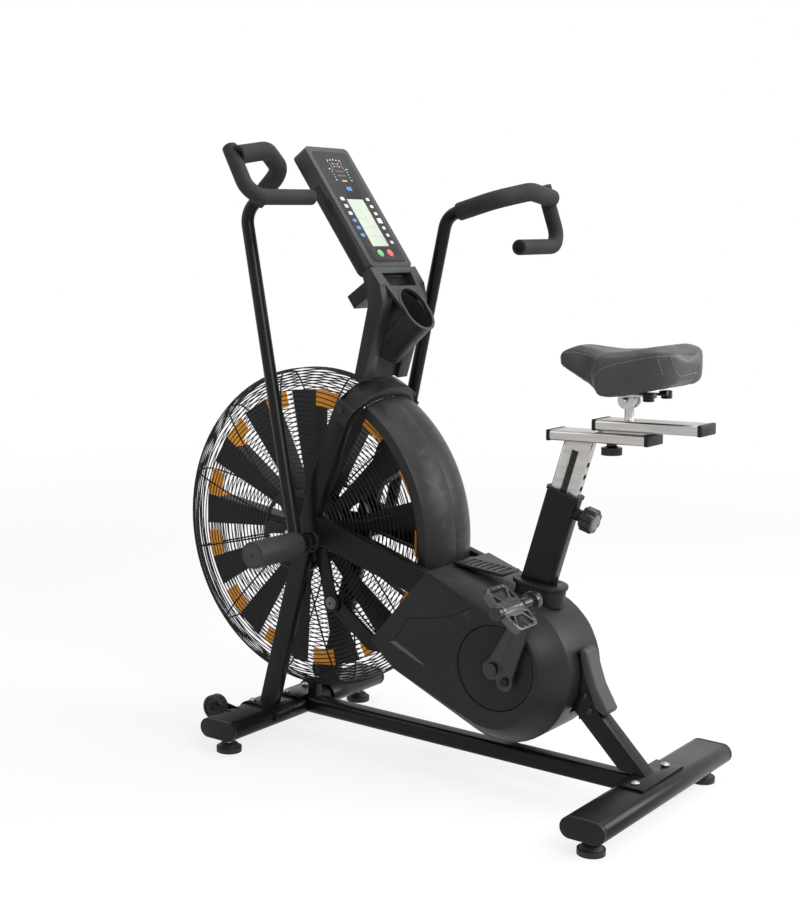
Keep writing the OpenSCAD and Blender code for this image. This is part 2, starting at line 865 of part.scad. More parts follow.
module bearings() {
    color("#b5b7ba") placed() for (s = [-1, 1]) on_side(s > 0) {
        ring_bar(crank_x, crank_z, bearing_r, spindle_r + fit, -shell_half, -shell_half + 12);
        ring_bar(fan_x, fan_z, bearing_r, axle_r, -28, -18);
        ring_bar(pivot_x, pivot_z, bush_r, shaft_r + fit, -ring_out + 3, -side_in + 2);
        ring_bar(pivot_x, pivot_z, 22.5, shaft_r + fit, -ring_out, -ring_out + 3);
    }
}

module fan_axle() {
    color("#b5b7ba") placed() {
        bar(fan_x, fan_z, axle_r, -side_in - 12, side_in + 12);
        for (s = [-1, 1]) on_side(s > 0)
            ring_bar(fan_x, fan_z, 13, axle_r, -cage_half - 7, -cage_half);
    }
}

module around_fan(angle) {
    translate([fan_x, 0, fan_z]) rotate([0, -angle, 0]) children();
}

module fan_hub() {
    color("#2a2a2c") placed() difference() {
        union() {
            bar(fan_x, fan_z, 26, -30, belt_y + belt_w / 2 + 3);
            bar(fan_x, fan_z, fan_hub_r, -blade_depth / 2, -blade_depth / 2 + 6);
            bar(fan_x, fan_z, fan_hub_r, blade_depth / 2 - 6, blade_depth / 2);
            bar(fan_x, fan_z, fan_pulley_r + 5, belt_y + belt_w / 2 + 1, belt_y + belt_w / 2 + 3);
        }
        ring_bar(fan_x, fan_z, 30, fan_pulley_r, belt_y - belt_w / 2 - 1, belt_y + belt_w / 2 + 1);
        bar(fan_x, fan_z, axle_r + 1, -40, 80);
        for (s = [-1, 1]) on_side(s > 0) bar(fan_x, fan_z, bearing_r + fit, -31, -18);
    }
}

module blade() {
    t = 2.5;
    r1 = fan_r - tip_len;
    difference() {
        union() {
            translate([fan_hub_r - 10, -blade_depth / 2, -t / 2]) cube([r1 - fan_hub_r + 10, blade_depth, t]);
            slab(-blade_depth / 2, -blade_depth / 2 + t) polygon([
                [fan_hub_r - 10, 0], [fan_r, 0],
                [fan_r * cos(blade_pitch * 0.46), fan_r * sin(blade_pitch * 0.46)], [fan_hub_r - 12, 16]]);
        }
        bar(0, 0, fan_hub_r, -50, 50);
    }
}

module blade_tip() {
    t = 2.5;
    r0 = fan_r - tip_len + 0.02;
    a = blade_pitch * 0.42;
    slab(-blade_depth / 2, -blade_depth / 2 + t) polygon([
        [r0, -0.02], [fan_r, -0.02], [fan_r * cos(a), -fan_r * sin(a)], [r0 * cos(a), -r0 * sin(a)]]);
    translate([r0, -blade_depth / 2 + t / 2, -1.5]) cube([tip_len - 1, blade_depth - t / 2, 1.5]);
}

module fan_blades() {
    color("#171719") placed() for (i = [0:blade_count - 1])
        around_fan(first_blade + i * blade_pitch) blade();
}

module fan_tips() {
    color("#ff8a1e") placed() for (i = [0:blade_count - 1])
        around_fan(first_blade + i * blade_pitch) blade_tip();
}

module belt_loop(grow) {
    hull() {
        translate([fan_x, fan_z]) circle(fan_pulley_r + grow);
        translate([crank_x, crank_z]) circle(drive_pulley_r + grow);
    }
}

module drive_belt() {
    color("#121212") placed() slab(belt_y - belt_w / 2, belt_y + belt_w / 2) difference() {
        belt_loop(gap + belt_t);
        belt_loop(gap);
    }
}

module drive_pulley() {
    color("#4a4b4e") placed() difference() {
        union() {
            bar(crank_x, crank_z, drive_pulley_r, belt_y - belt_w / 2 - 1, belt_y + belt_w / 2 + 1);
            bar(crank_x, crank_z, 24, shell_half + 1, belt_y + belt_w / 2 + 8);
        }
        bar(crank_x, crank_z, spindle_r, shell_half, 80);
        for (i = [0:4]) translate([crank_x, 0, crank_z]) rotate([0, i * 72, 0])
            bar(drive_pulley_r * 0.6, 0, 16, belt_y - belt_w, belt_y + belt_w);
    }
}

module crank_spindle() {
    end = arm_in + arm_t;
    color("#c4c6c8") placed() {
        bar(crank_x, crank_z, spindle_r, -end, end);
        for (s = [-1, 1]) on_side(s > 0) bar(crank_x, crank_z, 13, -end - 5, -end);
    }
}

// The left crank is drawn at rest; the right one points the other way
module crank_side(right) {
    translate([crank_x, 0, crank_z]) rotate([0, right ? 180 : 0, 0]) on_side(right) children();
}

ecc_x = throw * cos(throw_angle);
ecc_z = throw * sin(throw_angle);

module crank_disc() {
    difference() {
        union() {
            bar(0, 0, disc_r, -disc_in - 6, -disc_in);
            bar(0, 0, 26, -disc_in, -eccentric_out);
            bar(ecc_x, ecc_z, eccentric_r, -eccentric_out, -eccentric_in);
            bar(ecc_x, ecc_z, 12, -arm_in - arm_t, -disc_in);
            bar(ecc_x, ecc_z, 8, -arm_in - 2 * arm_t - 5, -arm_in);
        }
        bar(0, 0, spindle_r, -arm_in, -eccentric_in + 5);
    }
}

module crank_discs() {
    color("#2c2c2f") placed() {
        crank_side(false) crank_disc();
        crank_side(true) crank_disc();
    }
}

pedal_dx = crank_len * cos(crank_angle);
pedal_dz = crank_len * sin(crank_angle);
pedal_axle_r = 7;
pedal_y0 = arm_in + 2 * arm_t + 33;

// A flat limb between two points, narrower than its eyes
module limb(p, q, rp, rq, half) {
    d = unit(q - p);
    n = [-d[1], d[0]] * half;
    translate(p) circle(rp);
    translate(q) circle(rq);
    polygon([p + n, q + n, q - n, p - n]);
}

module crank_arm() {
    eye = [pedal_dx, pedal_dz];
    difference() {
        union() {
            slab(-arm_in - arm_t, -arm_in) limb([0, 0], eye, 20, 19, 15);
            slab(-arm_in - 2 * arm_t, -arm_in - arm_t) limb([ecc_x, ecc_z], eye, 18, 19, 14);
            bar(pedal_dx, pedal_dz, pedal_axle_r, -pedal_y0 - pedal_w - 14, -arm_in);
            bar(pedal_dx, pedal_dz, 13, -pedal_y0 - pedal_w - 14, -pedal_y0 - pedal_w - gap);
            bar(pedal_dx, pedal_dz, 11, -pedal_y0 + gap, -arm_in - 2 * arm_t);
        }
        bar(0, 0, spindle_r, -arm_in - arm_t - 1, -arm_in + 1);
        bar(ecc_x, ecc_z, 8, -arm_in - 3 * arm_t, -arm_in - arm_t + 1);
    }
}

module left_crank() {
    color("#212123") placed() crank_side(false) crank_arm();
}

module right_crank() {
    color("#212123") placed() crank_side(true) crank_arm();
}

module pedal() {
    y1 = -pedal_y0;
    y0 = y1 - pedal_w;
    mid = (y0 + y1) / 2;
    tread = 4;
    difference() {
        union() {
            bar(0, 0, 15, y0, y1);
            translate([-pedal_d / 2, y0, -pedal_t / 2]) cube([pedal_d, tread, pedal_t]);
            translate([-pedal_d / 2, y1 - tread, -pedal_t / 2]) cube([pedal_d, tread, pedal_t]);
            for (s = [-1, 1]) translate([s * (pedal_d - tread) / 2 - tread / 2, y0, -pedal_t / 2])
                cube([tread, pedal_w, pedal_t]);
            for (s = [-1, 1]) translate([-pedal_d / 2, mid + s * pedal_w * 0.2 - 6, -6])
                cube([pedal_d, 12, 12]);
        }
        bar(0, 0, pedal_axle_r + fit, y0 - 1, y1 + 1);
    }
}

module placed_pedal(right) {
    side = right ? -1 : 1;
    placed() translate([crank_x + side * pedal_dx, 0, crank_z + side * pedal_dz])
        rotate([0, pedal_tilt, 0]) on_side(right) pedal();
}

module left_pedal() {
    color("#9b9da0") placed_pedal(false);
}

module right_pedal() {
    color("#9b9da0") placed_pedal(true);
}

// ---- Handles and linkage ----

// The left handle rests forward and the right one rearward
module handle_side(right) {
    translate([pivot_x, 0, pivot_z]) rotate([0, right ? swing : -swing, 0]) on_side(right) children();
}

function left_of(p) = [p[0], -p[1], p[2]];
foam_start = bend_a + unit(bend_b - bend_a) * 34;
handle_path = rounded_path([for (p = [[0, weld_y, 0], bend_a, bend_b, bend_c, bend_d]) left_of(p)], bend_r);
foam_path = rounded_path([for (p = [foam_start, bend_b, bend_c, bend_d]) left_of(p)], bend_r);
grip_path = rounded_path([for (p = [grip_e, grip_f, grip_g]) left_of(p)], grip_bend_r);
handle_up = [1, 0, -1];
grip_up = [1, 0, 0.3];

module handle() {
    hub_in = ring_out + gap;
    difference() {
        union() {
            bar(0, 0, 19, -peg_in - peg_len, -hub_in);
            sweep(handle_path, tube_r, handle_up);
            sweep(grip_path, tube_r - 2, grip_up);
            bar(0, 0, peg_r, -peg_in - peg_len, -peg_in);
        }
        bar(0, 0, shaft_r, -peg_in - peg_len + 6, 0);
    }
}

module handle_grip() {
    difference() {
        sweep(foam_path, foam_r, handle_up, tube_r);
        sweep(grip_path, tube_r - 2, grip_up);
    }
    difference() {
        sweep(grip_path, grip_r, grip_up, tube_r - 2);
        sweep(handle_path, foam_r, handle_up);
    }
}

module left_handle() {
    color("#1e1e20") placed() handle_side(false) handle();
}

module right_handle() {
    color("#1e1e20") placed() handle_side(true) handle();
}

module left_grip() {
    color("#111112") placed() handle_side(false) handle_grip();
}

module right_grip() {
    color("#111112") placed() handle_side(true) handle_grip();
}

module lever() {
    slab(-lever_out, -lever_in) limb([0, 0], [0, -lever_len], 24, 19, 15);
    bar(0, 0, 20, -side_in + 2 + gap, -lever_out);
    bar(0, -lever_len, 8, -lever_out - bolt_h, -lever_out);
    bar(0, -lever_len, 6, -lever_in, -rod_in - 2);
    bar(0, 0, shaft_r, -peg_in - peg_len + 6, -lever_in);
}

module left_lever() {
    color("#77797c") placed() handle_side(false) lever();
}

module right_lever() {
    color("#77797c") placed() handle_side(true) lever();
}

// A flat bar from p to q, bent at k, as wide as twice half
module bent_bar(p, k, q, half) {
    d = unit(k - p);
    e = unit(q - k);
    n = [-d[1], d[0]] * half;
    m = [-e[1], e[0]] * half;
    corner = (n + m) / (1 + d * e);
    polygon([p + n, k + corner, q + m, q - m, k - corner, p - n]);
}

// The rod's front eye hangs on the lever, its rear strap rings the spindle
module rod(right) {
    side = right ? -1 : 1;
    eye = [pivot_x + side * lever_len * sin(swing), pivot_z - lever_len * cos(swing)];
    strap = [crank_x + side * ecc_x, crank_z + side * ecc_z];
    knee = [eye[0] + 98, eye[1] - 69];
    h = rod_h / 2;
    difference() {
        union() {
            slab(-rod_out, -rod_in) bent_bar(eye, knee, strap, h);
            bar(eye[0], eye[1], h + 2, -rod_out, -rod_in);
            bar(strap[0], strap[1], strap_r + 13, -rod_out, -rod_in);
        }
        bar(strap[0], strap[1], strap_r, -rod_out - 1, -rod_in + 1);
        bar(eye[0], eye[1], 6 + fit, -rod_out - 1, -rod_in + 1);
    }
}

module left_rod() {
    color("#5c5e61") placed() rod(false);
}

module right_rod() {
    color("#5c5e61") placed() on_side(true) rod(true);
}

// ---- Seat ----

module seat_sleeve() {
    color("#1c1c1e") placed() difference() {
        union() {
            along_seat(-sleeve_foot) linear_extrude(sleeve_foot + sleeve_len)
                rounded(sleeve_d, sleeve_t, 8);
            along_seat(pin_along) rotate([0, 90, 0]) cylinder(r = 12, h = sleeve_d / 2 + pin_boss);
        }
        along_seat(-sleeve_foot - 1) linear_extrude(sleeve_foot + sleeve_len + 2)
            rounded(sleeve_d - 2 * wall, sleeve_t - 2 * wall, 6);
        along_seat(pin_along) rotate([0, 90, 0]) cylinder(r = 6 + fit, h = sleeve_d);
    }
}

module sleeve_bushing() {
    lip_w = sleeve_d + 4;
    color("#0f0f10") placed() along_seat(sleeve_len - 70) difference() {
        union() {
            linear_extrude(70) rounded(sleeve_d - 2 * wall, sleeve_t - 2 * wall, 6);
            translate([0, 0, 70]) linear_extrude(bush_lip) rounded(lip_w, sleeve_t + 4, 9);
        }
        translate([0, 0, -1]) linear_extrude(90) rounded(post_w + 2 * gap, post_t + 2 * gap, 5 + gap);
        translate([0, 0, 70 - sleeve_len + pin_along]) rotate([0, 90, 0])
            cylinder(r = 6 + gap, h = sleeve_d);
    }
}

// The space above the lower rail's underside, seen from the foot of the seat post
module below_rail(len) {
    translate([0, 0, len]) rotate([0, -seat_lean - rail_tilt, 0]) translate([-60, -60, 0]) cube([120, 120, 60]);
}

module seat_post() {
    len = post_in + bush_lip + post_show;
    color("#c3c5c7") placed() along_seat(sleeve_len - post_in) difference() {
        linear_extrude(len + 12) rounded(post_w, post_t, 5);
        translate([0, 0, -1]) linear_extrude(len - 15) rounded(post_w - 2 * wall, post_t - 2 * wall, 3);
        below_rail(len);
        translate([-8, -post_t / 2 - 1, 20]) cube([16, 1.8, post_in + bush_lip + post_show - 40]);
        for (i = [-3:4]) translate([0, 0, post_in - sleeve_len + pin_along + i * hole_pitch])
            rotate([0, 90, 0]) cylinder(r = 5.5, h = post_w);
    }
}

module pull_pin() {
    color("#232325") placed() along_seat(pin_along) rotate([0, 90, 0]) {
        translate([0, 0, post_w / 2 + gap]) cylinder(r = 5, h = 10);
        translate([0, 0, post_w / 2 + 4]) cylinder(r = 6, h = pin_boss + 8);
        translate([0, 0, sleeve_d / 2 + pin_boss + gap]) cylinder(r = 25, h = 25, $fn = 12);
    }
}

// Drawings on the rails: X along them from the post's middle, Z up from the lower rail's underside
module on_rails() {
    translate([seat_top_x, 0, seat_top_z]) rotate([0, -rail_tilt, 0]) children();
}

module rail_bar(x0, x1, z) {
    translate([x0, 0, z + rail_h / 2]) rotate([90, 0, 90]) linear_extrude(x1 - x0) rounded(rail_w, rail_h, 5);
}

module lower_rail() {
    color("#c3c5c7") placed() on_rails() difference() {
        union() {
            rail_bar(lower_rail_x0, lower_rail_x1, 0);
            translate([knob_x - 24, -20, rail_h]) cube([100, 40, rail_gap - gap]);
        }
        translate([knob_x, 0, -1]) cylinder(r = 6 + fit, h = 60);
    }
}

module upper_rail() {
    eye_z = clamp_z - upper_rail_z - rail_h;
    color("#c3c5c7") placed() on_rails() difference() {
        union() {
            rail_bar(upper_rail_x0, upper_rail_x1, upper_rail_z);
            translate([saddle_x, 0, upper_rail_z + rail_h]) cylinder(r = 9, h = eye_z - 8);
            translate([saddle_x, 9, clamp_z]) rotate([90, 0, 0]) cylinder(r = 15, h = 18);
        }
        translate([saddle_x, 10, clamp_z]) rotate([90, 0, 0]) cylinder(r = 5 + fit, h = 20);
    }
}

module slide_knob() {
    color("#1a1a1b") placed() on_rails() translate([knob_x, 0, 0]) {
        translate([0, 0, -24]) cylinder(r = 20, h = 15, $fn = 12);
        translate([0, 0, -10]) cylinder(r = 9, h = 10 - gap);
        translate([0, 0, -12]) cylinder(r = 6, h = 12 + rail_h + rail_gap - gap);
    }
}

module saddle_clamp() {
    color("#8f9194") placed() on_rails() translate([saddle_x, 0, clamp_z]) {
        for (s = [-1, 1]) {
            translate([0, s * 12.6 + 3, 0]) rotate([90, 0, 0]) cylinder(r = 17, h = 6);
            translate([-34, s * 24 - 3.5, 8]) cube([100, 7, 5]);
            translate([-12, s * 19 - 8, 8]) cube([24, 16, 8]);
            for (i = [0:3]) translate([58, s * 38, 3.8 + i * 3.7])
                rotate_extrude() translate([9, 0]) circle(2);
            translate([50, s * 30 - 8, 8]) cube([16, 16, 9]);
        }
        translate([0, 30, 0]) rotate([90, 0, 0]) cylinder(r = 5, h = 60);
    }
}

module saddle() {
    tail = saddle_len * 0.47;
    nose = saddle_len - tail;
    nose_r = 34;
    back_r = saddle_w / 2;
    color("#17171a") placed() on_rails() translate([saddle_x, 0, saddle_z + 9]) {
        hull() {
            translate([tail - back_r, 0, 0]) cylinder(r = back_r, h = 66, $fn = 64);
            translate([tail - back_r, 0, 66]) cylinder(r = back_r - 22, h = 22, $fn = 64);
        }
        hull() {
            translate([-nose + nose_r, 0, 34]) cylinder(r = nose_r, h = 30, $fn = 32);
            translate([-nose + nose_r, 0, 64]) cylinder(r = nose_r - 10, h = 18, $fn = 32);
            translate([tail - back_r, 0, 10]) cylinder(r = 60, h = 56, $fn = 32);
            translate([tail - back_r, 0, 66]) cylinder(r = 50, h = 20, $fn = 32);
        }
    }
}

// ---- Console ----

// Drawings on the head: X out of its face, Y across, Z up along it
module on_head() {
    translate([head_x, 0, head_z]) rotate([0, -head_lean, 0]) children();
}

module face_slab(x0, x1) {
    translate([x0, 0, 0]) rotate([90, 0, 90]) linear_extrude(x1 - x0) children();
}

module console_case() {
    color("#2e2e31") placed() on_head() difference() {
        face_slab(-head_t, 0) translate([0, head_len / 2 + 0.5]) rounded(head_w, head_len - 1, 12);
        face_slab(-head_t + 4, -4) translate([0, head_len / 2]) rounded(head_w - 8, head_len - 20, 10);
        face_slab(-3, 1) translate([0, 110]) square([58, 118], center = true);
        face_slab(-5, -2) translate([0, 110]) square([50, 110], center = true);
        for (s = [-1, 1]) translate([-6, s * 17, 34]) rotate([0, 90, 0]) cylinder(r = 9 + gap, h = 8);
    }
}

module display_lens() {
    color("#a9b3a4") placed() on_head() face_slab(-3, -0.4)
        translate([0, 110]) square([57.6, 117.6], center = true);
}

module keypad() {
    color("#d9dadc") placed() on_head() {
        for (i = [0:5]) face_slab(0, 0.8) translate([-44, 168 - i * 18]) rounded(13, 9, 2);
        for (i = [0:6]) face_slab(0, 0.8) translate([44, 168 - i * 18])
            rounded(i == 3 ? 16 : 11, i == 3 ? 14 : 8, 2);
    }
}

module round_button(y) {
    on_head() translate([-6, y, 34]) rotate([0, 90, 0]) {
        cylinder(r = 9, h = 7.5);
    }
}

module start_button() {
    color("#57a65a") placed() round_button(-17);
}

module stop_button() {
    color("#d8544a") placed() round_button(17);
}

// The side outline of the mast's legs, up the front edge and down the rear one,
// measured from the head's lower edge
leg_y = [45, 80];
mast_front = [[-43, -270], [-3, -75], [-9, -46], [-22, -10], [-29, 0]];
mast_rear = [[0, 0], [24, -32], [33, -68], [3, -175], [-23, -270]];

module cup_hollow(grow, from, to) {
    on_head() translate([0, 0, -cup_along]) rotate([0, cup_lean - 90 + head_lean, 0])
        for (s = [-1, 1]) translate([-to, 0, s * cup_long / 2]) rotate([0, 90, 0])
            cylinder(r = cup_d / 2 + grow, h = to - from, $fn = 64);
}

// The face below the head, narrowing towards the cup holder
module neck_face() {
    face_slab(-mast_wall, 0) {
        polygon([[-head_w / 2, 0], [head_w / 2, 0],
                 [cup_d / 2 + 6, -cup_along], [-cup_d / 2 - 6, -cup_along]]);
        for (s = [-1, 1]) translate([0, -cup_along + s * cup_long / 2]) circle(cup_d / 2 + 6);
    }
}

module console_mast() {
    inset = 8;
    color("#1f1f21") placed() difference() {
        union() {
            translate([head_x, 0, head_z]) {
                for (s = [-1, 1]) on_side(s > 0) slab(-leg_y[1], -leg_y[0])
                    polygon(concat(mast_front, mast_rear));
                slab(-leg_y[0] - 1, leg_y[0] + 1) polygon(concat([for (p = mast_front) p + [inset, 0]],
                    [for (i = [3:-1:0]) mast_front[i] + [inset + mast_wall, 0]]));
                translate([-67, -40, -88]) rotate([0, -head_lean, 0]) cube([88, 80, 30]);
            }
            on_head() neck_face();
            cup_hollow(4, 8, cup_depth + 4);
        }
        cup_hollow(0, -20, cup_depth);
        on_head() translate([-head_t - 20, -head_w, 1]) cube([head_t + 40, 2 * head_w, 60]);
        on_head() translate([0, 0, -cup_along]) translate([0, -100, -150]) cube([100, 200, 300]);
        on_head() face_slab(-20, 5) translate([0, -30]) polygon([[-52, 16], [52, 16], [46, -16], [-46, -16]]);
        translate([fan_x, 0, fan_z]) rotate([90, 0, 0]) translate([0, 0, -200])
            cylinder(r = crown_r + gap, h = 400, $fn = 96);
    }
}

front_stabilizer();
rear_stabilizer();
stabilizer_caps();
left_side_frame();
right_side_frame();
yoke();
bottom_rail();
rear_strut();
frame_bolts();
left_cage();
right_cage();
left_shroud();
right_shroud();
left_cover();
right_cover();
louver_plate();
seat_collar();
bearings();
fan_axle();
drive_belt();
seat_sleeve();
sleeve_bushing();
wheel_brackets();
left_wheel();
right_wheel();
front_left_foot();
front_right_foot();
rear_left_foot();
rear_right_foot();
fan_hub();
fan_blades();
fan_tips();
crank_spindle();
drive_pulley();
crank_discs();
left_crank();
right_crank();
left_pedal();
right_pedal();
left_handle();
right_handle();
left_grip();
right_grip();
left_lever();
right_lever();
left_rod();
right_rod();
seat_post();
pull_pin();
lower_rail();
upper_rail();
slide_knob();
saddle_clamp();
saddle();
console_mast();
console_case();
display_lens();
keypad();
start_button();
stop_button();
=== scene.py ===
import bpy
import json
import math
from mathutils import Matrix, Vector
from mathutils.bvhtree import BVHTree

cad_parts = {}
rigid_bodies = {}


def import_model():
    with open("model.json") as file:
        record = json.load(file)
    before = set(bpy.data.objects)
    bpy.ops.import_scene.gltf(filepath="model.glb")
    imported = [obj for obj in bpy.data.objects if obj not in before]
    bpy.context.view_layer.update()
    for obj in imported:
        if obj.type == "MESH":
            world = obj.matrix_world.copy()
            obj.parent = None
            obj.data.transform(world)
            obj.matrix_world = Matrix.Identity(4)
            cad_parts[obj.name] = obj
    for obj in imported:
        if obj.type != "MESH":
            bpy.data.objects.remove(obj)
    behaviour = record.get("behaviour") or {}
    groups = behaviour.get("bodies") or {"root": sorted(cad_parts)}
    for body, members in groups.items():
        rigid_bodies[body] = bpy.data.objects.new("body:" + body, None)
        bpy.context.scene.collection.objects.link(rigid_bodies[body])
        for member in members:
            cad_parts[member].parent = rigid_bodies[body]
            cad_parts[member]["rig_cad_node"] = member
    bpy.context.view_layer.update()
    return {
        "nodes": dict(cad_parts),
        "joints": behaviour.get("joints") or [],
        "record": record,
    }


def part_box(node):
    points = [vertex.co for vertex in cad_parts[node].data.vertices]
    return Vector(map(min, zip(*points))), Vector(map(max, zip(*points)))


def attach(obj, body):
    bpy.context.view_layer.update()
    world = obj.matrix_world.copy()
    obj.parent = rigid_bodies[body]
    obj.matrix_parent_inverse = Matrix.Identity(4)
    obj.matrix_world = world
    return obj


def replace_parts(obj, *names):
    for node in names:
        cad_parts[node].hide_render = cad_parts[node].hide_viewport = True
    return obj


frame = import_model()
print("air bike: frame loaded")

# Places are in millimetres from the rear stabilizer's middle, at floor level
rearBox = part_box("rear_stabilizer")
rearX = (rearBox[0].x + rearBox[1].x) / 2
jointAt = {joint["name"]: Vector(joint["pos_m"]) for joint in frame["joints"] if joint.get("pos_m")}
crankAt = jointAt["crank_turn"]
fanAt = jointAt["fan_turn"]
pivotAt = Vector((jointAt["left_arm_swing"].x, 0, jointAt["left_arm_swing"].z))
origin = Vector((0, 0, 0))
bothSides = ((-1, "left"), (1, "right"))


def spot(x, y, z):
    return Vector((rearX + x / 1000, y / 1000, z / 1000))


def turnedAboutY(degrees):
    return Matrix.Rotation(math.radians(degrees), 4, "Y")


# Finishes: two tones that a slow noise mixes, with a fine grain for gloss and relief
finishes = {
    "powderBlack": dict(slot="frame_black", colour=(0.0045, 0.0045, 0.0052), second=(0.007, 0.007, 0.008),
                        rough=(0.24, 0.34), grain=900, bump=0.10, specular=0.15),
    "satinGrey": dict(slot="grey_steel", colour=(0.060, 0.062, 0.067), second=(0.085, 0.087, 0.092),
                      rough=(0.30, 0.42), metallic=0.55, grain=1200, bump=0.08),
    "linkGrey": dict(slot="grey_steel", colour=(0.10, 0.103, 0.107), second=(0.15, 0.155, 0.16),
                     rough=(0.28, 0.42), metallic=0.8, grain=1200, bump=0.08),
    "brushedSteel": dict(slot="bare_steel", colour=(0.40, 0.385, 0.37), second=(0.50, 0.485, 0.465),
                         rough=(0.24, 0.34), metallic=1.0, grain=260, bump=0.05, stretch=(0.6, 9, 9)),
    "boltSteel": dict(slot="bare_steel", colour=(0.36, 0.36, 0.365), second=(0.48, 0.48, 0.485),
                      rough=(0.20, 0.34), metallic=1.0, grain=700, bump=0.05),
    "darkBolt": dict(slot="frame_black", colour=(0.014, 0.014, 0.015), second=(0.030, 0.030, 0.032),
                     rough=(0.20, 0.32), metallic=0.6, grain=800, bump=0.06),
    "wireBlack": dict(slot="wire_black", colour=(0.008, 0.008, 0.009), second=(0.013, 0.013, 0.014),
                      rough=(0.24, 0.36), grain=1000, bump=0.05, specular=0.18),
    "mouldedBlack": dict(slot="plastic_black", colour=(0.007, 0.007, 0.008), second=(0.010, 0.010, 0.011),
                         rough=(0.34, 0.46), grain=2200, bump=0.16, specular=0.18),
    "mouldedGrey": dict(slot="plastic_dark", colour=(0.014, 0.014, 0.0155), second=(0.019, 0.019, 0.0205),
                        rough=(0.32, 0.44), grain=2400, bump=0.16, specular=0.15),
    "caseGrey": dict(slot="plastic_dark", colour=(0.040, 0.040, 0.043), second=(0.049, 0.049, 0.052),
                     rough=(0.40, 0.52), grain=2400, bump=0.14, specular=0.2),
    "bladeBlack": dict(slot="fan_grey", colour=(0.006, 0.0065, 0.007), second=(0.011, 0.0115, 0.0125),
                       rough=(0.34, 0.46), grain=1500, bump=0.08, specular=0.25),
    "bladeOrange": dict(slot="fan_orange", colour=(1.0, 0.37, 0.022), second=(1.0, 0.43, 0.040),
                        rough=(0.38, 0.5), grain=1500, bump=0.08, specular=0.35),
    "forgedGrey": dict(slot="crank_steel", colour=(0.010, 0.010, 0.011), second=(0.016, 0.016, 0.017),
                       rough=(0.20, 0.32), specular=0.4, grain=1300, bump=0.12),
    "pedalAlloy": dict(slot="grey_steel", colour=(0.070, 0.070, 0.073), second=(0.105, 0.105, 0.109),
                       rough=(0.28, 0.40), metallic=0.7, grain=1500, bump=0.14),
    "foamBlack": dict(slot="foam", colour=(0.016, 0.016, 0.017), second=(0.026, 0.026, 0.027),
                      rough=(0.62, 0.78), grain=3200, bump=0.35, specular=0.15, pattern="cells"),
    "rubberBlack": dict(slot="rubber", colour=(0.014, 0.014, 0.014), second=(0.022, 0.022, 0.022),
                        rough=(0.48, 0.62), grain=1800, bump=0.15, specular=0.3),
    "pegGrey": dict(slot="rubber", colour=(0.026, 0.026, 0.027), second=(0.038, 0.038, 0.039),
                    rough=(0.40, 0.52), grain=1800, bump=0.12, specular=0.3),
    "charcoalVinyl": dict(slot="vinyl", colour=(0.030, 0.030, 0.033), second=(0.041, 0.041, 0.044),
                          rough=(0.40, 0.52), grain=1400, bump=0.22, specular=0.35, pattern="cells"),
    "threadGrey": dict(slot="vinyl", colour=(0.22, 0.22, 0.227), second=(0.30, 0.30, 0.307),
                       rough=(0.65, 0.8), grain=4000, bump=0.3),
    "glossBlack": dict(slot="knob_black", colour=(0.003, 0.003, 0.0035), second=(0.006, 0.006, 0.007),
                       rough=(0.08, 0.16), grain=500, bump=0.02, specular=0.35),
    "screenGlass": dict(slot="screen", colour=(0.40, 0.44, 0.37), second=(0.47, 0.51, 0.43),
                        rough=(0.16, 0.24), grain=60, bump=0.01, specular=0.5),
    "screenInk": dict(slot="screen", colour=(0.30, 0.34, 0.28), second=(0.33, 0.37, 0.31),
                      rough=(0.2, 0.3), grain=60, bump=0.01),
    "capGrey": dict(slot="knob_black", colour=(0.055, 0.055, 0.058), second=(0.12, 0.12, 0.125),
                    rough=(0.10, 0.2), grain=220, bump=0.10, specular=0.6),
    "keyWhite": dict(slot="keys", colour=(0.44, 0.46, 0.49), second=(0.60, 0.61, 0.63),
                     rough=(0.34, 0.44), grain=1500, bump=0.06),
    "keyBlue": dict(slot="keys", colour=(0.045, 0.15, 0.38), second=(0.07, 0.20, 0.46),
                    rough=(0.34, 0.44), grain=1500, bump=0.06),
    "keyYellow": dict(slot="keys", colour=(0.46, 0.36, 0.05), second=(0.56, 0.45, 0.08),
                      rough=(0.34, 0.44), grain=1500, bump=0.06),
    "startGreen": dict(slot="green_key", colour=(0.10, 0.33, 0.13), second=(0.14, 0.40, 0.17),
                       rough=(0.22, 0.34), grain=900, bump=0.05),
    "stopRed": dict(slot="red_key", colour=(0.52, 0.07, 0.05), second=(0.62, 0.11, 0.08),
                    rough=(0.22, 0.34), grain=900, bump=0.05),
}


def setInputs(node, inputs):
    for name, value in inputs.items():
        node.inputs[name].default_value = value
    return node


def addNode(tree, kind, operation=None, **inputs):
    node = tree.nodes.new("ShaderNode" + kind)
    if operation:
        node.operation = operation
    return setInputs(node, inputs)


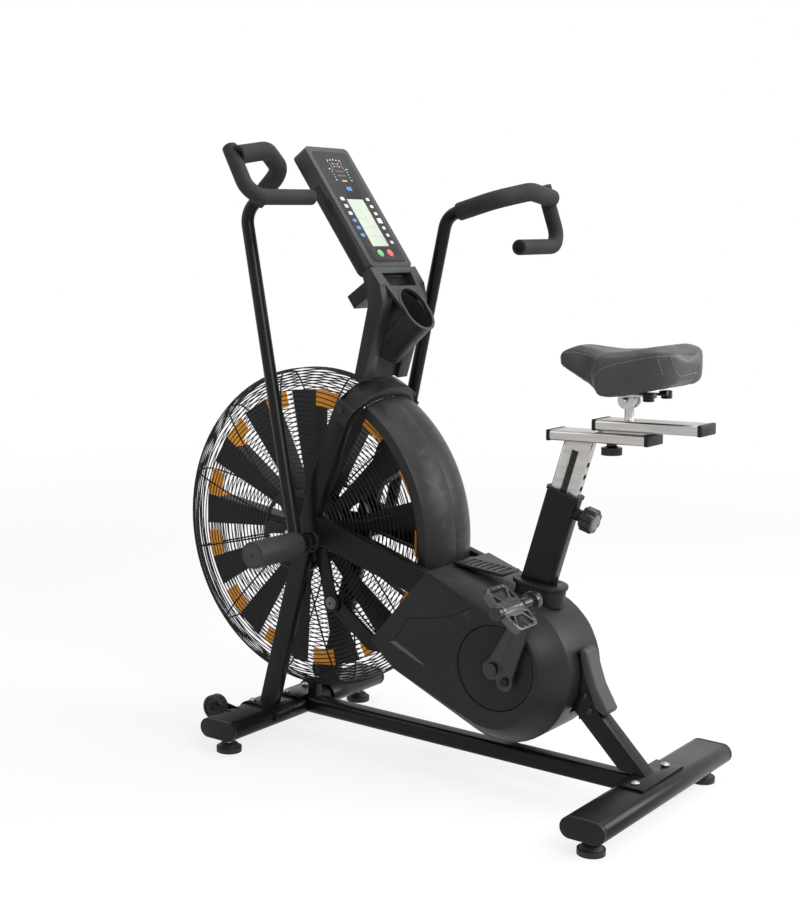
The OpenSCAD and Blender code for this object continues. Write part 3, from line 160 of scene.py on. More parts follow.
def makeFinish(name, look):
    material = bpy.data.materials.new(name)
    material.use_nodes = True
    tree = material.node_tree
    link = tree.links.new
    shader = setInputs(tree.nodes["Principled BSDF"], {"Metallic": look.get("metallic", 0),
                                                       "Specular IOR Level": look.get("specular", 0.5)})
    place = addNode(tree, "TexCoord")
    mapping = addNode(tree, "Mapping", Scale=look.get("stretch", (1, 1, 1)))
    link(place.outputs["Object"], mapping.inputs["Vector"])
    cloud = addNode(tree, "TexNoise", Scale=14, Detail=5)
    link(mapping.outputs["Vector"], cloud.inputs["Vector"])
    tint = addNode(tree, "ValToRGB")
    for element, stop, tone in zip(tint.color_ramp.elements, (0.32, 0.68), ("colour", "second")):
        element.position = stop
        element.color = (*look[tone], 1)
    link(cloud.outputs["Fac"], tint.inputs["Fac"])
    link(tint.outputs["Color"], shader.inputs["Base Color"])
    grain = addNode(tree, "TexNoise", Scale=look["grain"], Detail=2)
    link(mapping.outputs["Vector"], grain.inputs["Vector"])
    height = grain.outputs["Fac"]
    if look.get("pattern") == "cells":
        cells = addNode(tree, "TexVoronoi", Scale=look["grain"] * 0.6)
        link(mapping.outputs["Vector"], cells.inputs["Vector"])
        height = cells.outputs["Distance"]
    gloss = addNode(tree, "MapRange", **{"To Min": look["rough"][0], "To Max": look["rough"][1]})
    link(grain.outputs["Fac"], gloss.inputs["Value"])
    link(gloss.outputs["Result"], shader.inputs["Roughness"])
    relief = addNode(tree, "Bump", Strength=look["bump"], Distance=0.0004)
    link(height, relief.inputs["Height"])
    link(relief.outputs["Normal"], shader.inputs["Normal"])
    return material


materials = {name: makeFinish(name, look) for name, look in finishes.items()}
print("materials:", len(materials))


def activate(piece):
    bpy.ops.object.select_all(action="DESELECT")
    piece.select_set(True)
    bpy.context.view_layer.objects.active = piece


def applyModifiers(piece):
    activate(piece)
    for modifier in list(piece.modifiers):
        bpy.ops.object.modifier_apply(modifier=modifier.name)


def editAll(piece):
    activate(piece)
    bpy.ops.object.mode_set(mode="EDIT")
    bpy.ops.mesh.select_all(action="SELECT")


def cleanMesh(piece):
    editAll(piece)
    bpy.ops.mesh.remove_doubles(threshold=0.00001)
    bpy.ops.mesh.normals_make_consistent(inside=False)
    bpy.ops.object.mode_set(mode="OBJECT")
    return piece


def softenEdges(piece, width, segments=2, angle=40):
    if width > 0:
        bevel = piece.modifiers.new("edges", "BEVEL")
        bevel.width = width / 1000
        bevel.segments = segments
        bevel.limit_method = "ANGLE"
        bevel.angle_limit = math.radians(angle)
        applyModifiers(piece)
    activate(piece)
    bpy.ops.object.shade_smooth_by_angle(angle=math.radians(angle))
    return piece


def finishPiece(piece, finish, body, stands=()):
    piece.data.materials.clear()
    piece.data.materials.append(materials[finish])
    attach(piece, body)
    if stands:
        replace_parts(piece, *stands)
    return piece


def addObject(name, data):
    added = bpy.data.objects.new(name, data)
    bpy.context.scene.collection.objects.link(added)
    return added


def newMesh(name, points, edges=(), faces=()):
    mesh = bpy.data.meshes.new(name)
    mesh.from_pydata([tuple(point) for point in points], edges, faces)
    return addObject(name, mesh)


def copyPiece(piece, name, matrix):
    twin = piece.copy()
    twin.data = piece.data.copy()
    twin.name = name
    bpy.context.scene.collection.objects.link(twin)
    twin.data.transform(matrix)
    return twin


def joinPieces(pieces, name):
    bpy.ops.object.select_all(action="DESELECT")
    for piece in pieces:
        piece.select_set(True)
    bpy.context.view_layer.objects.active = pieces[0]
    bpy.ops.object.join()
    joined = bpy.context.view_layer.objects.active
    joined.name = name
    return joined


def settle(piece, matrix):
    piece.data.transform(matrix)
    return piece


def around(centre, degrees):
    return Matrix.Translation(centre) @ turnedAboutY(degrees) @ Matrix.Translation(-centre)


def tubeAlong(name, path, radius, sides=8):
    curve = bpy.data.curves.new(name, "CURVE")
    curve.dimensions = "3D"
    curve.bevel_depth = radius / 1000
    curve.bevel_resolution = sides
    curve.use_fill_caps = True
    spline = curve.splines.new("POLY")
    spline.points.add(len(path) - 1)
    for point, place in zip(spline.points, path):
        point.co = (*place, 1)
    activate(addObject(name, curve))
    bpy.ops.object.convert(target="MESH")
    return cleanMesh(bpy.context.view_layer.objects.active)


def roundedPath(points, bend, steps=10):
    path = [points[0]]
    for before, corner, after in zip(points, points[1:], points[2:]):
        inward = (corner - before).normalized()
        onward = (after - corner).normalized()
        turn = inward.angle(onward)
        toward = inward.cross(onward).normalized().cross(inward)
        centre = corner - inward * bend * math.tan(turn / 2) + toward * bend
        for step in range(steps + 1):
            angle = turn * step / steps
            path.append(centre + bend * (inward * math.sin(angle) - toward * math.cos(angle)))
    path.append(points[-1])
    return path


def spinProfile(name, profile, centre=origin, axis=(0, 1, 0), steps=64, closed=True):
    # Each point of the profile is a radius and a height along the axis, in millimetres
    along = Vector(axis).normalized()
    across = along.orthogonal().normalized() if abs(along.y) < 0.99 else Vector((1, 0, 0))
    points = [centre + across * radius / 1000 + along * height / 1000 for radius, height in profile]
    last = len(points) if closed else len(points) - 1
    piece = newMesh(name, points, [(i, (i + 1) % len(points)) for i in range(last)])
    editAll(piece)
    bpy.ops.mesh.spin(steps=steps, angle=math.tau, center=centre, axis=along)
    bpy.ops.object.mode_set(mode="OBJECT")
    return cleanMesh(piece)


def plate(name, outline, depth, matrix=Matrix.Identity(4)):
    # The outline lies in the plane Y = 0 of its own axes and is thickened along +Y
    points = [Vector((x / 1000, 0, z / 1000)) for x, z in outline]
    piece = newMesh(name, points, faces=[tuple(range(len(points)))])
    editAll(piece)
    bpy.ops.mesh.extrude_region_move(TRANSFORM_OT_translate={"value": (0, depth / 1000, 0)})
    bpy.ops.mesh.select_all(action="SELECT")
    bpy.ops.mesh.normals_make_consistent(inside=False)
    bpy.ops.object.mode_set(mode="OBJECT")
    return settle(piece, matrix)


def roundedBox(name, low, high, bevel, matrix=Matrix.Identity(4)):
    middle = (Vector(low) + Vector(high)) / 2000
    bpy.ops.mesh.primitive_cube_add(size=1)
    piece = bpy.context.object
    piece.name = name
    size = (Vector(high) - Vector(low)) / 1000
    piece.data.transform(Matrix.Translation(middle) @ Matrix.Diagonal((*size, 1)))
    softenEdges(piece, bevel, 3)
    return settle(piece, matrix)


def cutOut(piece, cutters):
    cutter = joinPieces(cutters, "cutter") if len(cutters) > 1 else cutters[0]
    boolean = piece.modifiers.new("cut", "BOOLEAN")
    boolean.operation = "DIFFERENCE"
    boolean.object = cutter
    boolean.solver = "EXACT"
    applyModifiers(piece)
    bpy.data.objects.remove(cutter)
    return piece


def softCopy(node, bevel, angle=35):
    source = frame["nodes"][node]
    piece = source.copy()
    piece.data = source.data.copy()
    words = node.split("_")
    piece.name = words[0] + "".join(word.capitalize() for word in words[1:])
    del piece["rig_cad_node"]
    bpy.context.scene.collection.objects.link(piece)
    editAll(piece)
    bpy.ops.mesh.remove_doubles(threshold=0.00002)
    bpy.ops.mesh.dissolve_limited(angle_limit=math.radians(1))
    bpy.ops.object.mode_set(mode="OBJECT")
    return softenEdges(piece, bevel, 2, angle)


# Copies of the frame's solids with rounded edges
softPieces = [
    # Finish, width of the rounded edge in millimetres, solids, crease angle where it isn't 35 degrees
    ("powderBlack", 0.6, "front_stabilizer rear_stabilizer"),
    ("mouldedBlack", 2.5, "stabilizer_caps"),
    ("powderBlack", 3.0, "left_side_frame right_side_frame"),
    ("mouldedGrey", 1.2, "yoke"),
    ("powderBlack", 0.8, "bottom_rail"),
    ("powderBlack", 1.5, "rear_strut"),
    ("boltSteel", 0.8, "frame_bolts"),
    ("mouldedGrey", 0.8, "left_shroud right_shroud"),
    ("mouldedGrey", 1.6, "left_cover right_cover", 18),
    ("mouldedBlack", 1.2, "louver_plate"),
    ("powderBlack", 1.2, "seat_sleeve"),
    ("mouldedBlack", 0, "sleeve_bushing"),
    ("powderBlack", 0.8, "wheel_brackets"),
    ("rubberBlack", 1.5, "left_wheel right_wheel"),
    ("mouldedBlack", 1.2, "fan_hub crank_discs"),
    ("forgedGrey", 1.6, "left_crank right_crank"),
    ("powderBlack", 1.2, "left_lever right_lever left_rod right_rod"),
    ("brushedSteel", 0.6, "seat_post"),
    ("brushedSteel", 0.8, "lower_rail upper_rail"),
    ("boltSteel", 0.8, "saddle_clamp"),
    ("mouldedGrey", 3.5, "console_mast"),
    ("caseGrey", 3.0, "console_case"),
    ("startGreen", 1.2, "start_button"),
    ("stopRed", 1.2, "stop_button"),
]
bodyOf = {member: body for body, members in frame["record"]["behaviour"]["bodies"].items()
          for member in members}
dressed = {}
for finish, width, solids, *crease in softPieces:
    for node in solids.split():
        piece = softCopy(node, width, *crease)
        dressed[node] = finishPiece(piece, finish, bodyOf[node], (node,))


def secondFinish(piece, finish, chosen):
    piece.data.materials.append(materials[finish])
    for face in piece.data.polygons:
        if chosen(face.center):
            face.material_index = 1


secondFinish(dressed["frame_bolts"], "darkBolt", lambda place: place.z > 0.1)
# The clamp is plated and its springs behind it are black
secondFinish(dressed["saddle_clamp"], "darkBolt", lambda place: place.x > jointAt["seat_tilt"].x + 0.018)
print("softened pieces:", len(dressed))

plainNodes = {
    "linkGrey": "bearings drive_pulley",
    "boltSteel": "fan_axle",
    "rubberBlack": "drive_belt front_left_foot front_right_foot rear_left_foot rear_right_foot",
    "darkBolt": "crank_spindle",
    "screenGlass": "display_lens",
    "bladeBlack": "fan_blades",
    "bladeOrange": "fan_tips",
    "wireBlack": "left_cage right_cage",
    "pedalAlloy": "left_pedal right_pedal",
    "powderBlack": "left_handle right_handle",
    "foamBlack": "left_grip right_grip",
    "glossBlack": "pull_pin slide_knob",
    "charcoalVinyl": "saddle",
    "keyWhite": "keypad",
}
for finish, solids in plainNodes.items():
    for node in solids.split():
        solid = frame["nodes"][node]
        solid.data.materials.clear()
        solid.data.materials.append(materials[finish])
print("solids with new materials done")


def roundedOutline(middle, up, width, height, radius, steps=5):
    outline = []
    for quarter, (sx, sz) in enumerate(((1, 1), (-1, 1), (-1, -1), (1, -1))):
        for step in range(steps + 1):
            angle = math.pi / 2 * (quarter + step / steps)
            outline.append((middle + sx * (width / 2 - radius) + radius * math.cos(angle),
                            up + sz * (height / 2 - radius) + radius * math.sin(angle)))
    return outline


# Details on the drive's covers: a groove, a raised band with a hole, a notch and a lip round the disc; the
# notch's lighter grey is a painted highlight on its sloped lower face
cover = dict(face=118, groove=1.3, lip=(88, 97), bandThick=1.1, paintedHighlightThick=0.7, hole=(-414, 395),
             holeRadius=4.6)
coverGroove = [(-524, 279), (-494, 326), (-400, 345), (-372, 358), (-348, 372)]
coverBand = [(-474, 383), (-452, 376), (-430, 373), (-400, 374), (-372, 378), (-362, 382), (-400, 401),
             (-448, 424), (-456, 412)]
coverNotchPaintedHighlight = [(-536, 271), (-521, 275), (-485, 258), (-446, 236), (-478, 246)]

for side, word in bothSides:
    shell = dressed[word + "_cover"]
    face = side * cover["face"]
    route = [spot(x, face, z) for x, z in coverGroove]
    cutOut(shell, [tubeAlong("groove", roundedPath(route, 0.012), cover["groove"], 2)])
    softenEdges(shell, 0, angle=24)
    onFace = Matrix.Translation(spot(0, face, 0)) @ Matrix.Diagonal((1, side, 1, 1))
    band = cleanMesh(plate(word + "CoverBand", coverBand, cover["bandThick"], onFace))
    finishPiece(softenEdges(band, 0.7, 3), "mouldedGrey", "frame")
    # Painted highlight: the notch is a thin plate in a lighter grey that stands in for the light its sloped
    # lower face catches
    notchPaintedHighlight = cleanMesh(plate(word + "CoverNotchPaintedHighlight", coverNotchPaintedHighlight, cover["paintedHighlightThick"], onFace))
    finishPiece(softenEdges(notchPaintedHighlight, 0.3), "satinGrey", "frame")
    low, high = cover["lip"]
    lip = [(low, face - side * 2), (low, face + side * 0.5), (low + 2, face + side * 1.1),
           (high - 4, face + side * 1.1), (high, face - side * 0.2), (high, face - side * 2)]
    lipPiece = spinProfile(word + "CoverLip", lip, crankAt, steps=96)
    finishPiece(softenEdges(lipPiece, 0, angle=30), "mouldedGrey", "frame")
    holeX, holeZ = cover["hole"]
    radius, top = cover["holeRadius"], side * (cover["bandThick"] + 0.5)
    cup = [(0, top * 0.75), (radius - 0.4, top * 0.75), (radius, top), (radius + 0.8, top),
           (radius + 1.1, 0), (0, 0)]
    cupPiece = spinProfile(word + "CoverHole", cup, spot(holeX, face, holeZ), steps=32)
    finishPiece(softenEdges(cupPiece, 0), "glossBlack", "frame")
print("cover details done")

# The collar where the seat tube enters the covers: a rounded flange over a deeper skirt
collar = dict(x=-261, z=406, tilt=6, long=113, wide=78, flange=9, skirt=34, skirtLong=104, skirtWide=68)
seatTube = dict(x=-263, z=422, lean=15.3, halfLong=32.5, halfWide=13.5)
tubeFrame = Matrix.Translation(spot(seatTube["x"], 0, seatTube["z"])) @ turnedAboutY(seatTube["lean"])
collarTurn = Matrix.Translation(spot(collar["x"], 0, collar["z"])) @ turnedAboutY(collar["tilt"])
# An outline drawn in XZ is laid flat, with its thickness upwards
layFlat = Matrix.Rotation(math.radians(90), 4, "X")
flange = plate("seatCollar", roundedOutline(0, 0, collar["long"], collar["wide"], 36, 8),
               collar["flange"], collarTurn @ Matrix.Translation((0, 0, 0.005)) @ layFlat)
skirtDown = Matrix.Translation((0, 0, 0.006 - collar["skirt"] / 1000))
skirt = plate("seatCollarSkirt", roundedOutline(2, 0, collar["skirtLong"], collar["skirtWide"], 33, 8),
              collar["skirt"], collarTurn @ skirtDown @ layFlat)
for piece, width in ((flange, 2.5), (skirt, 1.2)):
    softenEdges(cleanMesh(piece), width, 3)
    # Open inside the sleeve, where the post comes down
    tunnel = roundedBox("tunnel", (-seatTube["halfLong"], -seatTube["halfWide"], -260),
                        (seatTube["halfLong"], seatTube["halfWide"], 60), 1, tubeFrame)
    cutOut(piece, [tunnel])
finishPiece(joinPieces([flange, skirt], "seatCollar"), "mouldedBlack", "frame", ("seat_collar",))

# A moulded cap over the top of the rear strut
strutCap = dict(width=46, outline=[(-158, 300), (-150, 306), (-141, 302), (-116, 236), (-88, 190),
                                   (-96, 180), (-118, 192), (-146, 252)])
cap = cleanMesh(plate("strutCap", strutCap["outline"], strutCap["width"],
                      Matrix.Translation(spot(0, -strutCap["width"] / 2, 0))))
finishPiece(softenEdges(cap, 6, 4, 30), "caseGrey", "frame")

# Round washers and bolts where the levers meet their rods
rodBolt = dict(rise=3.6, near=0.02)
for side, word in bothSides:
    rodAt = jointAt[word + "_rod_swing"]
    axis = Vector((rodAt.x, 0, rodAt.z))
    lever = frame["nodes"][word + "_lever"].data
    reach = max(side * vertex.co.y for vertex in lever.vertices
                if (Vector((vertex.co.x, 0, vertex.co.z)) - axis).length < rodBolt["near"]) * 1000
    back = reach - rodBolt["rise"]
    washer = [(0, back), (13, back), (13, back + 0.8), (12.4, back + 1.4), (8.6, back + 1.4),
              (8.6, reach - 0.6), (7.6, reach + 0.2), (3, reach + 0.2), (2.4, reach - 0.8),
              (0, reach - 0.8)]
    bolt = spinProfile(word + "RodBolt", [(r, side * h) for r, h in washer], axis, steps=40, closed=False)
    finishPiece(softenEdges(bolt, 0), "linkGrey", word + "_arm")
print("collar, strut cap and rod bolts done")


cage = dict(rim=345, rimHalf=15, domeStart=60, domeHalf=70, faceHalf=80, hub=88, firstRing=97,
            ringPitch=9.6, ringWire=1.25, spokes=12, spokeWire=1.8, steps=96)


def domeHeight(radius):
    share = (radius - cage["domeStart"]) / (cage["rim"] - cage["domeStart"])
    return cage["rimHalf"] + (cage["domeHalf"] - cage["rimHalf"]) * math.sqrt(max(0, 1 - share * share))


def wireCage(name, side):
    rings = []
    radius = cage["firstRing"]
    while radius < cage["rim"] - 3:
        rings.append((radius, domeHeight(radius) - cage["ringWire"]))
        radius += cage["ringPitch"] * (1 if radius < 300 else 0.62)
    wire = cage["ringWire"]
    rings += [(cage["rim"] - wire, height) for height in (3.5, 9.5, 15)]
    points, edges = [], []
    for radius, height in rings:
        first = len(points)
        for corner in range(6):
            angle = math.tau * corner / 6
            outward, along = radius + wire * math.cos(angle), side * (height + wire * math.sin(angle))
            points.append(fanAt + Vector((outward, along, 0)) / 1000)
            edges.append((first + corner, first + (corner + 1) % 6))
    wires = newMesh(name, points, edges)
    editAll(wires)
    bpy.ops.mesh.spin(steps=cage["steps"], angle=math.tau, center=fanAt, axis=(0, 1, 0))
    bpy.ops.object.mode_set(mode="OBJECT")
    cleanMesh(wires)
    # One spoke under the rings, copied around the fan's axis
    low = cage["ringWire"] * 2 + cage["spokeWire"] - 0.6
    path = []
    for step in range(21):
        radius = cage["hub"] - 4 + (cage["rim"] - cage["hub"] - 1) * math.sin(math.pi / 2 * step / 20)
        radius = min(radius, cage["rim"] - 3.4)
        path.append(fanAt + Vector((radius / 1000, side * (domeHeight(radius) - low) / 1000, 0)))
    path.append(fanAt + Vector(((cage["rim"] - 3.4) / 1000, 0, 0)))
    spoke = tubeAlong(name + "Spoke", path, cage["spokeWire"], 2)
    spokes = [copyPiece(spoke, name + "Spoke", around(fanAt, (i + 0.5) * 360 / cage["spokes"]))
              for i in range(cage["spokes"])]
    bpy.data.objects.remove(spoke)
    # Hub plate with six windows between its ribs
    face, hub = cage["faceHalf"] * side, cage["hub"]
    rim = [(8, face), (hub - 3, face), (hub, face - side * 3), (hub, face - side * 13),
           (hub - 3, face - side * 13), (hub - 3, face - side * 5), (hub - 5, face - side * 3),
           (8, face - side * 3)]
    hubPlate = spinProfile(name + "Hub", rim, fanAt, steps=72)
    windows = []
    outline = [(28, -7), (72, -27), (76, -16), (78, 0), (76, 16), (72, 27), (28, 7)]
    for i in range(6):
        windowFrame = around(fanAt, i * 60 + 30) @ Matrix.Translation(fanAt)
        windows.append(plate("window", outline, 200,
                             windowFrame @ Matrix.Translation((0, -0.1 + side * 0.11, 0))))
    cutOut(hubPlate, windows)
    softenEdges(hubPlate, 0.6)
    for piece in [wires] + spokes:
        softenEdges(piece, 0, angle=70)
    whole = joinPieces([wires, hubPlate] + spokes, name)
    return finishPiece(whole, "wireBlack", "frame")


for side, word in bothSides:
    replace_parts(wireCage(word + "Cage", side), word + "_cage")
print("cage wires done")


handles = dict(swing=15.3, tube=13.5, foam=18.8, grip=15.8, bend=45, gripBend=32, hubIn=121.3, pegIn=165,
               pegLen=137, pegRadius=27.5, foamAfter=34)
tubeStops = [(0, 163, 0), (-13, 102, 697), (92, 93, 762), (125, 170, 791), (124, 264, 778)]
gripStops = [(103, 255, 798), (159, 292, 685), (167, 109, 686)]


def handlePoint(point, side):
    turn = Matrix.Rotation(math.radians(side * handles["swing"]), 3, "Y")
    return pivotAt + turn @ (Vector((point[0], side * point[1], point[2])) / 1000)


def buildHandle(word, side):
    stops = [handlePoint(point, side) for point in tubeStops]
    grips = [handlePoint(point, side) for point in gripStops]
    path = roundedPath(stops, handles["bend"] / 1000)
    gripPath = roundedPath(grips, handles["gripBend"] / 1000)
    body = word + "_arm"
    tube = tubeAlong(word + "HandleTube", path, handles["tube"], 10)
    branch = tubeAlong(word + "HandleBranch", gripPath, handles["tube"] - 2, 8)
    hubIn, pegIn = handles["hubIn"], handles["pegIn"]
    pegOut = pegIn + handles["pegLen"]
    hub = [(12.1, hubIn), (21, hubIn), (22, hubIn + 1.5), (22, hubIn + 16), (19, hubIn + 18),
           (19, pegIn + 1), (12.1, pegIn + 1)]
    hubPiece = spinProfile(word + "HandleHub", [(r, side * h) for r, h in hub], pivotAt, steps=48)
    collar = [(16, pegIn - 2), (24, pegIn - 2), (26, pegIn), (26, pegIn + 3), (16, pegIn + 3)]
    collarPiece = spinProfile(word + "HandleCollar", [(r, side * h) for r, h in collar], pivotAt, steps=48)
    steel = joinPieces([tube, branch, hubPiece, collarPiece], word + "Handle")
    finishPiece(softenEdges(steel, 0), "powderBlack", body, (word + "_handle",))
    # The foot peg is a rubber sleeve with a grooved end that has a small hole in its middle
    pegR = handles["pegRadius"]
    peg = [(13, pegIn), (pegR - 1.5, pegIn), (pegR, pegIn + 1.5), (pegR, pegOut - 1.2),
           (pegR - 1.2, pegOut - 0.2), (pegR - 2.4, pegOut - 0.2), (pegR - 2.6, pegOut - 0.9),
           (pegR - 3.4, pegOut - 0.9), (pegR - 3.6, pegOut), (4.2, pegOut), (3.6, pegOut - 2),
           (0, pegOut - 2)]
    sleeve = spinProfile(word + "FootPeg", [(r, side * h) for r, h in peg], pivotAt, steps=56, closed=False)
    finishPiece(softenEdges(sleeve, 0, angle=30), "pegGrey", body)
    # Foam over the bent tube, then foam over the cross grip
    foamStart = stops[1] + (stops[2] - stops[1]).normalized() * handles["foamAfter"] / 1000
    foam = tubeAlong(word + "Foam", roundedPath([foamStart] + stops[2:], handles["bend"] / 1000),
                     handles["foam"], 10)
    gripFoam = tubeAlong(word + "GripFoam", gripPath, handles["grip"], 10)
    soft = joinPieces([softenEdges(piece, 3.0, 3, 60) for piece in (foam, gripFoam)], word + "FoamGrip")
    return finishPiece(soft, "foamBlack", body, (word + "_grip",))


for side, word in bothSides:
    buildHandle(word, side)
print("handles done")


saddle = dict(x=102, z=100, voxel=4.5, pressure=4.0, frames=20, cap=4.0, ringPoints=40,
              squareness=0.28, hollow=22, wide=98, stitch=5.2, stitchGap=0.9, stitchRadius=0.45,
              stitchLift=0.2, seamRadius=0.6)
rails = dict(x=-185.01, z=707.07, tilt=2.4)
railFrame = Matrix.Translation(spot(rails["x"], 0, rails["z"])) @ turnedAboutY(-rails["tilt"])
saddleFrame = railFrame @ Matrix.Translation((saddle["x"] / 1000, 0, saddle["z"] / 1000))
saddleStations = [
    # distance behind the clamp, half width, underside, top
    (-146, 8, 51, 59), (-141, 18, 46, 71), (-130, 27, 41, 78), (-108, 36, 31, 81), (-84, 45, 19, 79),
    (-62, 56, 8, 76), (-44, 69, -1, 73), (-29, 86, -9, 72), (-20, 93, -13, 72), (-6, 95, -13, 72),
    (28, 96, -9, 75), (60, 96, -3, 81), (88, 92, 4, 85), (108, 82, 9, 85), (121, 64, 14, 80),
    (127, 42, 24, 72)]


def saddleBody():
    rows, count = [], saddle["ringPoints"]
    for x, half, low, high in saddleStations:
        row = []
        for i in range(count):
            angle = math.tau * (i + 0.5) / count
            cosine, sine = math.cos(angle), math.sin(angle)
            power = saddle["squareness"]
            y = half * math.copysign(abs(cosine) ** power, cosine)
            z = (low + high) / 2 + (high - low) / 2 * math.copysign(abs(sine) ** power, sine)
            if sine < 0:
                z += saddle["hollow"] * (half / saddle["wide"]) ** 2 * (1 - (y / half) ** 2)
            row.append(Vector((x, y, z)) / 1000)
        rows.append(row)
    points = [point for row in rows for point in row]
    faces = []
    for r in range(len(rows) - 1):
        for i in range(count):
            j = (i + 1) % count
            faces.append((r * count + i, r * count + j, (r + 1) * count + j, (r + 1) * count + i))
    faces.append(tuple(range(count)))
    faces.append(tuple((len(rows) - 1) * count + i for i in reversed(range(count))))
    piece = cleanMesh(newMesh("saddleCushion", points, faces=faces))
    smooth = piece.modifiers.new("round", "SUBSURF")
    smooth.levels = smooth.render_levels = 1
    remesh = piece.modifiers.new("even", "REMESH")
    remesh.mode = "VOXEL"
    remesh.voxel_size = saddle["voxel"] / 1000
    applyModifiers(piece)
    return settle(piece, saddleFrame)


def inflate(piece):
    start = [vertex.co.copy() for vertex in piece.data.vertices]
    cloth = piece.modifiers.new("padding", "CLOTH")
    cloth.settings.quality = 4
    cloth.settings.mass = 0.3
    cloth.settings.use_pressure = True
    cloth.settings.uniform_pressure_force = saddle["pressure"]
    cloth.settings.effector_weights.gravity = 0
    cloth.point_cache.frame_start = 1
    cloth.point_cache.frame_end = saddle["frames"]
    for number in range(1, saddle["frames"] + 1):
        bpy.context.scene.frame_set(number)
    graph = bpy.context.evaluated_depsgraph_get()
    swollen = [vertex.co.copy() for vertex in piece.evaluated_get(graph).data.vertices]
    piece.modifiers.remove(cloth)
    bpy.context.scene.frame_set(1)
    for vertex, before, after in zip(piece.data.vertices, start, swollen):
        move = after - before
        if move.length > saddle["cap"] / 1000:
            move = move.normalized() * saddle["cap"] / 1000
        vertex.co = before + move


cushion = saddleBody()
inflate(cushion)
finer = cushion.modifiers.new("finer", "SUBSURF")
finer.levels = finer.render_levels = 1
applyModifiers(cushion)
activate(cushion)
bpy.ops.object.shade_smooth()
finishPiece(cushion, "charcoalVinyl", "seat", ("saddle",))


def alongSide(side, corners):
    # A line drawn on the saddle's side view, dropped inwards onto the cushion every few millimetres
    path = []
    for (x0, z0), (x1, z1) in zip(corners, corners[1:]):
        count = max(1, round(math.hypot(x1 - x0, z1 - z0) / 4))
        path += [(x0 + (x1 - x0) * i / count, z0 + (z1 - z0) * i / count) for i in range(count)]
    tree = BVHTree.FromObject(cushion, bpy.context.evaluated_depsgraph_get())
    inward = (saddleFrame.to_3x3() @ Vector((0, -side, 0))).normalized()
    found = []
    for x, z in path + [corners[-1]]:
        outside = saddleFrame @ (Vector((x, side * 160, z)) / 1000)
        hit, normal = tree.ray_cast(outside, inward)[:2]
        if hit is not None:
            found.append((hit, normal))
    return found


def stitchRow(name, found):
    # Short stitches laid end to end along the row, with a gap between each
    stitches, travelled, begun = [], 0, None
    for (a, normal), (b, _) in zip(found, found[1:]):
        length = (b - a).length
        step = 0
        while step < length:
            place = a.lerp(b, step / length)
            phase = (travelled + step) * 1000 % (saddle["stitch"] + saddle["stitchGap"])
            if phase < saddle["stitch"]:
                begun = (begun or []) + [place + normal * saddle["stitchLift"] / 1000]
            elif begun:
                if len(begun) > 1:
                    stitches.append(tubeAlong(name, [begun[0], begun[-1]], saddle["stitchRadius"], 1))
                begun = None
            step += 0.001
        travelled += length
    return finishPiece(joinPieces(stitches, name), "threadGrey", "seat")


saddleSeams = {
    "TopSeam": [(-31, 0), (-33, 16), (-30, 32), (-20, 45), (-4, 53), (22, 60), (54, 67), (90, 74),
                (112, 76), (122, 73)],
    "NoseSeam": [(-140, 58), (-134, 66), (-122, 72), (-100, 74), (-74, 72), (-52, 69)],
    "FirstRearSeam": [(94, 73), (97, 60), (101, 46), (105, 34)],
    "LastRearSeam": [(112, 75), (115, 60), (118, 46), (120, 34)]}

for side, word in bothSides:
    for name, corners in saddleSeams.items():
        seam = [hit for hit, normal in alongSide(side, corners)]
        finishPiece(tubeAlong(word + name, seam, saddle["seamRadius"], 2), "charcoalVinyl", "seat")
        aside, below = (2.6, 0) if "Rear" in name else (0, -2.6)
        stitchRow(word + name + "Stitch", alongSide(side, [(x + aside, z + below) for x, z in corners]))
print("saddle done")


pedal = dict(tilt=40, half=39, inner=170, height=15, barrel=10.5, crank=(82.9, 149.56))
pedalOutline = [(-50, -28), (-44, -35), (-18, -39), (18, -39), (44, -35), (50, -28),
                (50, 28), (44, 35), (18, 39), (-18, 39), (-44, 35), (-50, 28)]
pedalWindows = [
    [(20, -13), (41, -27), (44, -22), (44, 22), (41, 27), (20, 13)],
    [(17, -34), (37, -30), (17, -17)],
    [(17, 34), (17, 17), (37, 30)]]


